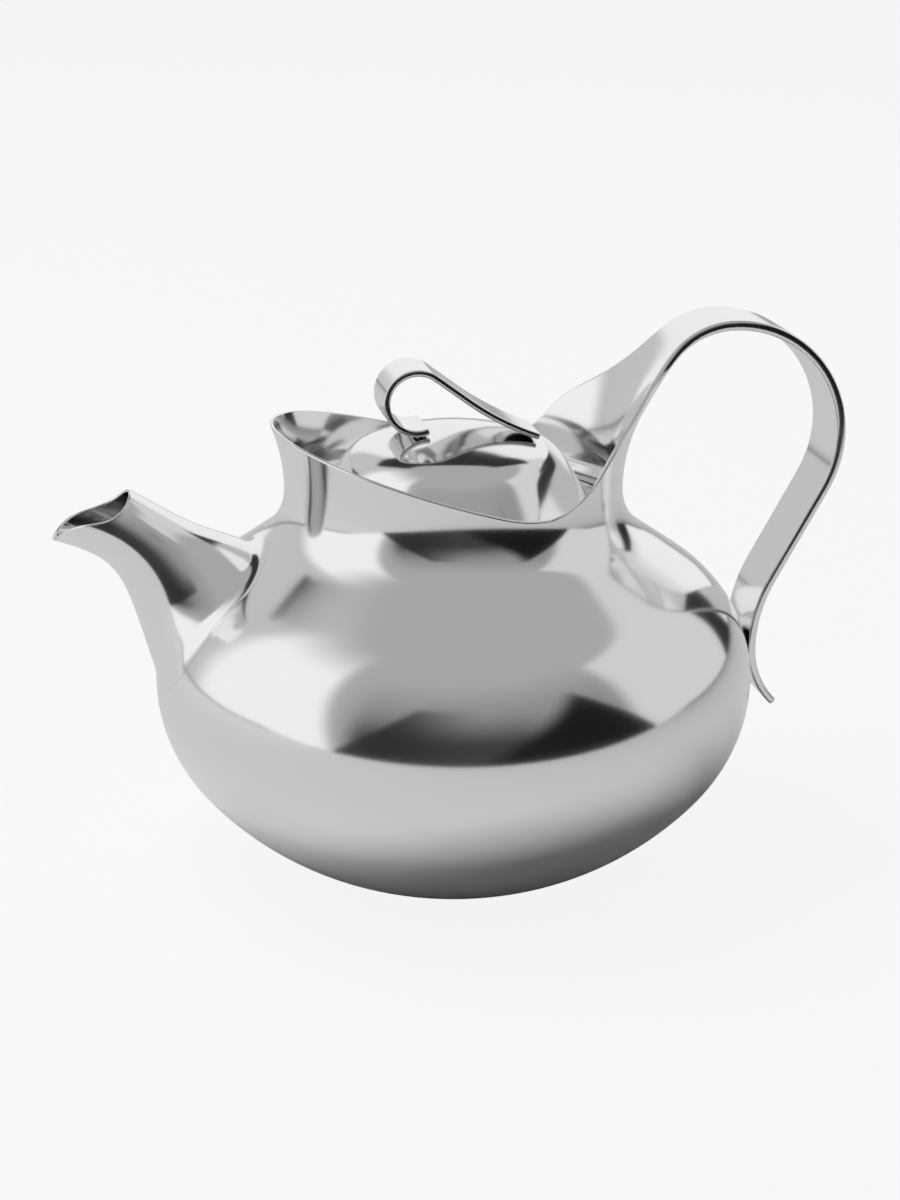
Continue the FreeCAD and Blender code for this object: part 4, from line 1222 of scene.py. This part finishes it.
class TEAPOT_OT_knob(Piece, Operator):
    """Ribbon bent into a loop, with a tail that comes down on to the lid"""

    bl_idname = "teapot.knob"
    bl_label = "Knob"
    HALF_COLUMNS = 10

    def build(self, scene):
        knob = scene.teapot_knob
        line = knob_line(scene.teapot_body, scene.teapot_lid, knob)
        depth = knob.edge_depth
        half = knob.width / 2 - depth
        shares = [column / self.HALF_COLUMNS - 1 for column in range(2 * self.HALF_COLUMNS + 1)]
        outer = []
        inner = []
        for s in stations(depth, line.end - depth, KNOB_ROW_STEP):
            place = line.at(s)
            for rows, (x, z, out, up) in ((outer, place), (inner, under(place, knob.thickness))):
                rows.append([((x, half * share, z), (out, 0.0, up)) for share in shares])
        shell = Shell()
        shell.grid(outer)
        shell.grid(inner)
        shell.roll(self.walk(outer), self.walk(inner), self.ways(outer), depth, RIBBON_SQUARENESS)
        piece = shell.make("ribbon_knob", polished_silver(scene))
        dress(piece, "lid", "polished_silver", "lid_knob")

    @staticmethod
    def walk(rows):
        """Edge places all the way round, each corner repeated so that the edge can turn there."""
        sides = [
            [row[-1] for row in rows],
            list(reversed(rows[-1])),
            [row[0] for row in reversed(rows)],
            rows[0],
        ]
        places = []
        for side in sides:
            places += side + [side[-1]] * ROLL_STEPS
        return places + places[:1]

    @staticmethod
    def ways(rows):
        """Directions off the ribbon to match the walk."""
        start = (Vector(rows[0][0][0]) - Vector(rows[1][0][0])).normalized()
        stop = (Vector(rows[-1][0][0]) - Vector(rows[-2][0][0])).normalized()
        across = Vector((0, 1, 0))
        sides = [(across, len(rows)), (stop, len(rows[0])), (-across, len(rows)), (start, len(rows[0]))]
        ways = []
        for place, (way, count) in enumerate(sides):
            following = sides[(place + 1) % len(sides)][0]
            ways += [way] * count
            ways += [way.slerp(following, (step + 1) / ROLL_STEPS) for step in range(ROLL_STEPS)]
        return ways + ways[:1]


# Node trees for what repeats
class Tree:
    """Short way to write a node tree: an input takes a plain value or another node's output."""

    def __init__(self, tree):
        self.tree = tree

    def add(self, kind, inputs=(), **settings):
        node = self.tree.nodes.new(kind)
        for name, value in settings.items():
            setattr(node, name, value)
        for name, value in inputs:
            if isinstance(value, bpy.types.NodeSocket):
                self.tree.links.new(value, node.inputs[name])
            else:
                node.inputs[name].default_value = value
        return node

    def out(self, kind, inputs=(), **settings):
        """First output of a new node."""
        return self.add(kind, inputs, **settings).outputs[0]

    def maths(self, operation, first, second):
        return self.out("ShaderNodeMath", [(0, first), (1, second)], operation=operation)

    def cylinder(self, radius, depth, sides):
        inputs = [("Radius", radius), ("Depth", depth), ("Vertices", sides)]
        return self.out("GeometryNodeMeshCylinder", inputs)

    def copies(self, points, geometry):
        return self.out("GeometryNodeInstanceOnPoints", [("Points", points), ("Instance", geometry)])

    def join(self, parts):
        return self.out("GeometryNodeJoinGeometry", [("Geometry", part) for part in parts])

    def real(self, geometry):
        return self.out("GeometryNodeRealizeInstances", [("Geometry", geometry)])

    def cut(self, solid, cutter):
        inputs = [("Mesh 1", solid), ("Mesh 2", cutter)]
        return self.out("GeometryNodeMeshBoolean", inputs, operation="DIFFERENCE")

    def upwards(self, height):
        return self.out("ShaderNodeCombineXYZ", [("Z", height)])

    def move(self, geometry, way, turn=(0.0, 0.0, 0.0)):
        inputs = [("Geometry", geometry), ("Translation", way), ("Rotation", turn)]
        return self.out("GeometryNodeTransform", inputs)


LENGTH = "NodeSocketFloat"
COUNT = "NodeSocketInt"
PLACE = "NodeSocketVector"
FINISH = "NodeSocketMaterial"
PAIR_INPUTS = {"Middle": PLACE, "Spacing": PLACE, "Finish": FINISH}
PLATE_SIDES = 96
HOLE_SIDES = 24
FIRST_RING_HOLES = 6
STUD_SIDES = 32
WASHER_SIDES = 48
NUT_SIDES = 6
THREAD_ROOT = 0.86
DRILL_DEPTH = 10 * MM


def geometry_tree(name, inputs):
    """Empty geometry tree with named inputs; returns it with the sockets of its inputs."""
    group = bpy.data.node_groups.new(name, "GeometryNodeTree")
    group.interface.new_socket("Geometry", in_out="OUTPUT", socket_type="NodeSocketGeometry")
    for label, kind in inputs.items():
        group.interface.new_socket(label, in_out="INPUT", socket_type=kind)
    tree = Tree(group)
    return tree, tree.add("NodeGroupInput").outputs


def end_tree(tree, geometry, finish):
    """Realize, give the finish and hand the geometry out."""
    finished = tree.out("GeometryNodeSetMaterial", [("Geometry", tree.real(geometry)), ("Material", finish)])
    tree.add("NodeGroupOutput", [("Geometry", finished)])


def grow(name, tree, values):
    """Run a geometry tree once and keep its result as a plain mesh object."""
    holder = bpy.data.objects.new(name, bpy.data.meshes.new(name))
    bpy.context.scene.collection.objects.link(holder)
    modifier = holder.modifiers.new("grow", "NODES")
    modifier.node_group = tree.tree
    for item in tree.tree.interface.items_tree:
        if item.item_type == "SOCKET" and item.in_out == "INPUT":
            modifier[item.identifier] = values[item.name]
    graph = bpy.context.evaluated_depsgraph_get()
    mesh = bpy.data.meshes.new_from_object(holder.evaluated_get(graph))
    holder.modifiers.clear()
    holder.data = mesh
    mesh.name = name
    return holder


def plate_tree(rings):
    """Round plate with a hole in its middle and rings of holes about it."""
    tree, given = geometry_tree("pierced_plate", {
        "Radius": LENGTH, "Thickness": LENGTH, "Hole": LENGTH, "Pitch": LENGTH,
        "Middle": PLACE, "Turn": PLACE, "Finish": FINISH,
    })
    plate = tree.cylinder(given["Radius"], given["Thickness"], PLATE_SIDES)
    drill = tree.cylinder(given["Hole"], DRILL_DEPTH, HOLE_SIDES)
    drills = [drill]
    for ring in range(1, rings + 1):
        reach = tree.maths("MULTIPLY", given["Pitch"], float(ring))
        holes = FIRST_RING_HOLES * ring
        circle = tree.out("GeometryNodeMeshCircle", [("Radius", reach), ("Vertices", holes)])
        drills.append(tree.copies(circle, drill))
    pierced = tree.cut(plate, tree.real(tree.join(drills)))
    end_tree(tree, tree.move(pierced, given["Middle"], given["Turn"]), given["Finish"])
    return tree


class TEAPOT_OT_strainer(Piece, Operator):
    """Pierced plate in the spout's root"""

    bl_idname = "teapot.strainer"
    bl_label = "Strainer"

    def build(self, scene):
        spout = scene.teapot_spout
        middle, axis, radius = sieve_place(pot_line(scene))
        piece = grow("pierced_strainer", plate_tree(spout.sieve_rings), {
            "Radius": radius - scene.teapot_body.wall - spout.sieve_gap,
            "Thickness": spout.sieve_thickness,
            "Hole": spout.sieve_hole,
            "Pitch": spout.sieve_pitch,
            "Middle": tuple(middle),
            "Turn": (0.0, math.atan2(axis[0], axis[2]), 0.0),
            "Finish": satin_metal(scene),
        })
        dress(piece, "pot", "satin_metal", "spout_strainer")


def end_pair(tree, given, geometry):
    """Hand out two copies, side by side across the pot."""
    half = tree.out("ShaderNodeVectorMath", [(0, given["Spacing"]), ("Scale", -0.5)], operation="SCALE")
    start = tree.out("ShaderNodeVectorMath", [(0, given["Middle"]), (1, half)], operation="ADD")
    inputs = [("Start Location", start), ("Offset", given["Spacing"]), ("Count", 2)]
    pair = tree.out("GeometryNodeMeshLine", inputs)
    end_tree(tree, tree.copies(pair, geometry), given["Finish"])


def stud_tree():
    """Threaded stud: ridges stacked one pitch apart under one skin, with flat ends."""
    inputs = {"Radius": LENGTH, "Pitch": LENGTH, "Count": COUNT}
    tree, given = geometry_tree("threaded_studs", inputs | PAIR_INPUTS)
    crest = given["Radius"]
    pitch = given["Pitch"]
    count = given["Count"]
    root = tree.maths("MULTIPLY", crest, THREAD_ROOT)
    half = tree.maths("DIVIDE", pitch, 2.0)
    flanks = []
    for low, high in ((root, crest), (crest, root)):
        inputs = [("Radius Bottom", low), ("Radius Top", high), ("Depth", half), ("Vertices", STUD_SIDES)]
        flanks.append(tree.out("GeometryNodeMeshCone", inputs, fill_type="NONE"))
    ridge = tree.join([flanks[0], tree.move(flanks[1], tree.upwards(half))])
    stack = tree.out("GeometryNodeMeshLine", [("Offset", tree.upwards(pitch)), ("Count", count)])
    skin = tree.real(tree.copies(stack, ridge))
    inputs = [("Radius", root), ("Vertices", STUD_SIDES)]
    top = tree.out("GeometryNodeMeshCircle", inputs, fill_type="NGON")
    foot = tree.out("GeometryNodeFlipFaces", [("Mesh", top)])
    height = tree.upwards(tree.maths("MULTIPLY", pitch, count))
    whole = tree.join([skin, foot, tree.move(top, height)])
    solid = tree.out("GeometryNodeMergeByDistance", [("Geometry", whole), ("Distance", WELD)])
    end_pair(tree, given, solid)
    return tree


def drilled_tree(name, sides):
    """Round or six-sided disc with a hole through it."""
    tree, given = geometry_tree(name, {"Radius": LENGTH, "Thickness": LENGTH, "Hole": LENGTH} | PAIR_INPUTS)
    disc = tree.cylinder(given["Radius"], given["Thickness"], sides)
    drill = tree.cylinder(given["Hole"], DRILL_DEPTH, STUD_SIDES)
    end_pair(tree, given, tree.cut(disc, drill))
    return tree


class TEAPOT_OT_fixings(Piece, Operator):
    """Studs, washers and nuts that hold the knob from under the lid"""

    bl_idname = "teapot.fixings"
    bl_label = "Knob fixings"

    def build(self, scene):
        knob = scene.teapot_knob
        _, (x, surface) = knob_place(scene.teapot_body, scene.teapot_lid, knob)
        shared = {"Spacing": (0.0, knob.stud_spacing, 0.0), "Finish": turned_steel(scene)}
        # Half a pitch higher than the CAD's studs
        base = surface - knob.stud_sink - knob.stud_length + knob.thread_pitch / 2
        studs = grow("threaded_studs", stud_tree(), shared | {
            "Radius": knob.stud_radius,
            "Pitch": knob.thread_pitch,
            "Count": round(knob.stud_length / knob.thread_pitch),
            "Middle": (x, 0.0, base),
        })
        dress(studs, "lid", "fixings", "knob_studs")
        washer_z = surface - knob.washer_drop - knob.washer_thickness / 2
        nut_z = washer_z - (knob.washer_thickness + knob.nut_thickness) / 2
        washer = (WASHER_SIDES, knob.washer_radius, knob.washer_thickness, washer_z)
        nut = (NUT_SIDES, knob.nut_radius, knob.nut_thickness, nut_z)
        for name, node, (sides, radius, thickness, z) in (
            ("washers", "knob_washers", washer),
            ("nuts", "knob_nuts", nut),
        ):
            discs = grow(name, drilled_tree(name, sides), shared | {
                "Radius": radius,
                "Thickness": thickness,
                "Hole": knob.stud_radius + knob.play,
                "Middle": (x, 0.0, z),
            })
            dress(discs, "lid", "fixings", node)


# Finishes
CLOUD_DETAIL = 4.0
MARK_DETAIL = 2.0
MARK_FINENESS = 60
COLOUR_A = 6
COLOUR_B = 7
MIXED_COLOUR = 2


def new_finish(name):
    """Empty material with its tree."""
    material = bpy.data.materials.new(name)
    material.use_nodes = True
    material.node_tree.nodes.clear()
    return material, Tree(material.node_tree)


def metal(name, base, film, roughness, spread, scale):
    """Metal with a faint film of handling and fine polishing marks."""
    if name in bpy.data.materials:
        return bpy.data.materials[name]
    material, tree = new_finish(name)
    place = tree.add("ShaderNodeTexCoord").outputs["Object"]

    def noise(fineness, detail):
        inputs = [("Vector", place), ("Scale", fineness), ("Detail", detail)]
        return tree.add("ShaderNodeTexNoise", inputs).outputs["Fac"]

    colours = [("Factor", noise(scale, CLOUD_DETAIL)), (COLOUR_A, (*base, 1.0)), (COLOUR_B, (*film, 1.0))]
    tint = tree.add("ShaderNodeMix", colours, data_type="RGBA").outputs[MIXED_COLOUR]
    marks = noise(scale * MARK_FINENESS, MARK_DETAIL)
    limits = [("Value", marks), ("To Min", roughness - spread), ("To Max", roughness + spread)]
    level = tree.out("ShaderNodeMapRange", limits)
    inputs = [("Base Color", tint), ("Roughness", level), ("Metallic", 1.0)]
    shader = tree.out("ShaderNodeBsdfPrincipled", inputs)
    tree.add("ShaderNodeOutputMaterial", [("Surface", shader)])
    return material


def polished_silver(scene):
    finish = scene.teapot_finish
    roughness = (finish.polish, finish.polish_spread)
    return metal("polished_silver", finish.silver, finish.tarnish, *roughness, finish.polish_scale)


def satin_metal(scene):
    finish = scene.teapot_finish
    roughness = (finish.satin_roughness, finish.satin_spread)
    return metal("satin_metal", finish.satin, finish.tarnish, *roughness, finish.satin_scale)


def turned_steel(scene):
    finish = scene.teapot_finish
    roughness = (finish.steel_roughness, finish.steel_spread)
    return metal("turned_steel", finish.steel, finish.satin, *roughness, finish.steel_scale)


# Stage: soft cards of a light tent, by the angles in degrees that they fill as seen from the pot.
# Azimuth is 0 in front of the pot and grows towards the handle. A side edge is an azimuth at the
# horizon, a lean (degrees of azimuth for a degree of elevation) and the width of its blur. Bottom
# and top are an elevation and the width of its blur. Later cards lie over earlier ones.
Card = namedtuple("Card", "level left right bottom top")
TENT_LEVEL = 0.42
CARDS = (
    # room in front of the tent, behind the camera: grey, darker towards the table
    Card(0.30, (-52, 0.0, 20), (62, 0.0, 20), (-30, 4), (44, 30)),
    Card(0.05, (-50, 0.0, 10), (24, 0.0, 24), (-30, 4), (20, 32)),
    # white side panel at the spout's side
    Card(0.95, (-126, 0.0, 22), (-58, -0.2, 8), (-30, 4), (58, 30)),
    # paler side panel at the handle's side
    Card(0.68, (60, 0.0, 8), (140, 0.0, 6), (-30, 4), (50, 4)),
    # grey corner between the spout's side and the backdrop
    Card(0.57, (-172, 0.0, 8), (-128, 0.0, 22), (-30, 4), (48, 4)),
    # white backdrop, in two halves that meet behind the pot
    Card(0.90, (134, 0.0, 8), (190, 0.0, 1), (-30, 4), (43, 2)),
    Card(0.90, (-190, 0.0, 1), (-167, 0.0, 8), (-30, 4), (43, 2)),
    # dark gap between backdrop and top panel
    Card(0.03, (124, 0.0, 3), (190, 0.0, 1), (43, 2), (64, 3)),
    Card(0.03, (-190, 0.0, 1), (-138, 0.0, 6), (43, 2), (64, 3)),
    # dark gaps at the tent's front corners, over the table's edge
    Card(0.01, (9, 0.85, 14), (66, -0.68, 1.5), (-30, 4), (38, 3)),
    Card(0.03, (-52, 0.75, 1.5), (-18, 0.0, 44), (-30, 4), (34, 6)),
    # narrow gap beside the backdrop
    Card(0.02, (119, 0.2, 1.5), (133, -0.2, 1.5), (-30, 4), (22, 2)),
)


def step_mask(tree, value, edge, blur, rising):
    """0 to 1 across an edge, or 1 to 0."""
    inputs = [("Value", value), ("From Min", edge - blur / 2), ("From Max", edge + blur / 2)]
    if not rising:
        inputs += [("To Min", 1.0), ("To Max", 0.0)]
    return tree.out("ShaderNodeMapRange", inputs, interpolation_type="SMOOTHSTEP")


def tent_light(tree):
    """Brightness of the light tent in every direction."""
    place = tree.add("ShaderNodeTexCoord").outputs["Object"]
    parts = tree.add("ShaderNodeSeparateXYZ", [("Vector", place)]).outputs
    turn = tree.maths("ARCTAN2", parts["X"], tree.maths("MULTIPLY", parts["Y"], -1.0))
    azimuth = tree.maths("MULTIPLY", turn, math.degrees(1))
    elevation = tree.maths("MULTIPLY", tree.maths("ARCSINE", parts["Z"], 0.0), math.degrees(1))
    light = TENT_LEVEL
    for card in CARDS:
        mask = step_mask(tree, elevation, *card.bottom, True)
        mask = tree.maths("MULTIPLY", mask, step_mask(tree, elevation, *card.top, False))
        for (edge, lean, blur), rising in ((card.left, True), (card.right, False)):
            leaning = tree.maths("SUBTRACT", azimuth, tree.maths("MULTIPLY", elevation, lean))
            mask = tree.maths("MULTIPLY", mask, step_mask(tree, leaning, edge, blur, rising))
        keep = tree.maths("MULTIPLY", light, tree.maths("SUBTRACT", 1.0, mask))
        light = tree.maths("ADD", keep, tree.maths("MULTIPLY", mask, card.level))
    return light


def grey(level):
    return (level, level, level, 1.0)


def mix(tree, share, first, second):
    return tree.out("ShaderNodeMixShader", [("Fac", share), (1, first), (2, second)])


class TEAPOT_OT_stage(Piece, Operator):
    """Pale floor, soft light and the camera"""

    bl_idname = "teapot.stage"
    bl_label = "Stage"

    def build(self, scene):
        stage = scene.teapot_stage
        self.add_floor(scene, stage)
        self.add_world(scene, stage)
        self.add_lamp(scene, stage)
        self.add_camera(scene, stage)
        scene.view_settings.view_transform = "Standard"

    @staticmethod
    def add_floor(scene, stage):
        reach = stage.floor_reach
        front = -stage.floor_front
        mesh = bpy.data.meshes.new("floor")
        corners = [(-reach, front, 0.0), (reach, front, 0.0), (reach, reach, 0.0), (-reach, reach, 0.0)]
        mesh.from_pydata(corners, [], [(0, 1, 2, 3)])
        floor = bpy.data.objects.new("floor", mesh)
        scene.collection.objects.link(floor)
        material, tree = new_finish("pale_floor")
        seen = tree.add("ShaderNodeLightPath").outputs["Is Camera Ray"]
        share = tree.maths("MULTIPLY", seen, 1 - stage.floor_shadow)
        plain = tree.out("ShaderNodeBsdfDiffuse", [("Color", (*stage.floor_colour, 1.0))])
        glow = tree.out("ShaderNodeEmission", [("Color", grey(stage.floor_glow)), ("Strength", 1.0)])
        tree.add("ShaderNodeOutputMaterial", [("Surface", mix(tree, share, plain, glow))])
        mesh.materials.append(material)

    @staticmethod
    def add_world(scene, stage):
        """Tent for what the metal mirrors, plain light for the floor and a backdrop for the camera."""
        world = bpy.data.worlds.new("studio")
        scene.world = world
        world.use_nodes = True
        world.node_tree.nodes.clear()
        tree = Tree(world.node_tree)
        path = tree.add("ShaderNodeLightPath").outputs
        plain, tent, backdrop = (
            tree.out("ShaderNodeBackground", [("Color", light)])
            for light in (grey(stage.room_light), tent_light(tree), grey(stage.background))
        )
        lit = mix(tree, path["Is Glossy Ray"], plain, tent)
        seen = mix(tree, path["Is Camera Ray"], lit, backdrop)
        tree.add("ShaderNodeOutputWorld", [("Surface", seen)])

    @staticmethod
    def add_lamp(scene, stage):
        """Soft lamp that lights the floor and is not mirrored in the metal."""
        light = bpy.data.lights.new("soft_lamp", "AREA")
        light.energy = stage.lamp_power
        light.size = stage.lamp_size
        lamp = bpy.data.objects.new("soft_lamp", light)
        scene.collection.objects.link(lamp)
        lamp.location = Vector(stage.lamp_place) * stage.lamp_size
        lamp.rotation_euler = lamp.location.to_track_quat("Z", "Y").to_euler()
        lamp.visible_glossy = False

    @staticmethod
    def add_camera(scene, stage):
        camera = bpy.data.objects.new("camera", bpy.data.cameras.new("camera"))
        scene.collection.objects.link(camera)
        target = Vector((0.0, 0.0, stage.target))
        flat = math.cos(stage.elevation)
        across = math.sin(stage.azimuth) * flat
        away = math.cos(stage.azimuth) * flat
        back = Vector((across, -away, math.sin(stage.elevation)))
        camera.location = target + back * stage.distance
        camera.rotation_euler = back.to_track_quat("Z", "Y").to_euler()
        camera.data.lens = stage.lens
        camera.data.shift_x = stage.shift_x
        camera.data.shift_y = stage.shift_y
        scene.camera = camera


class TEAPOT_PT_panel(Panel):
    """Lists the teapot's pieces and their sizes"""

    bl_idname = "TEAPOT_PT_panel"
    bl_label = "Teapot"
    bl_space_type = "VIEW_3D"
    bl_region_type = "UI"
    bl_category = "Teapot"

    def draw(self, context):
        for operator in OPERATORS:
            self.layout.operator(operator.bl_idname)
        for name, group in SETTINGS.items():
            box = self.layout.box()
            settings = getattr(context.scene, name)
            for size in group.__annotations__:
                box.prop(settings, size)


OPERATORS = (
    TEAPOT_OT_bowl,
    TEAPOT_OT_shoulder,
    TEAPOT_OT_handle,
    TEAPOT_OT_spout,
    TEAPOT_OT_strainer,
    TEAPOT_OT_lid_seat,
    TEAPOT_OT_lid,
    TEAPOT_OT_lid_ring,
    TEAPOT_OT_knob,
    TEAPOT_OT_fixings,
    TEAPOT_OT_stage,
)


def register():
    for name, group in SETTINGS.items():
        bpy.utils.register_class(group)
        setattr(bpy.types.Scene, name, PointerProperty(type=group))
    for item in OPERATORS + (TEAPOT_PT_panel,):
        bpy.utils.register_class(item)


def unregister():
    for item in (TEAPOT_PT_panel,) + OPERATORS[::-1]:
        bpy.utils.unregister_class(item)
    for name, group in SETTINGS.items():
        delattr(bpy.types.Scene, name)
        bpy.utils.unregister_class(group)


def main():
    register()
    bpy.ops.teapot.bowl()
    bpy.ops.teapot.shoulder()
    bpy.ops.teapot.handle()
    bpy.ops.teapot.spout()
    bpy.ops.teapot.strainer()
    bpy.ops.teapot.lid_seat()
    bpy.ops.teapot.lid()
    bpy.ops.teapot.lid_ring()
    bpy.ops.teapot.knob()
    bpy.ops.teapot.fixings()
    bpy.ops.teapot.stage()


if __name__ == "__main__":
    main()
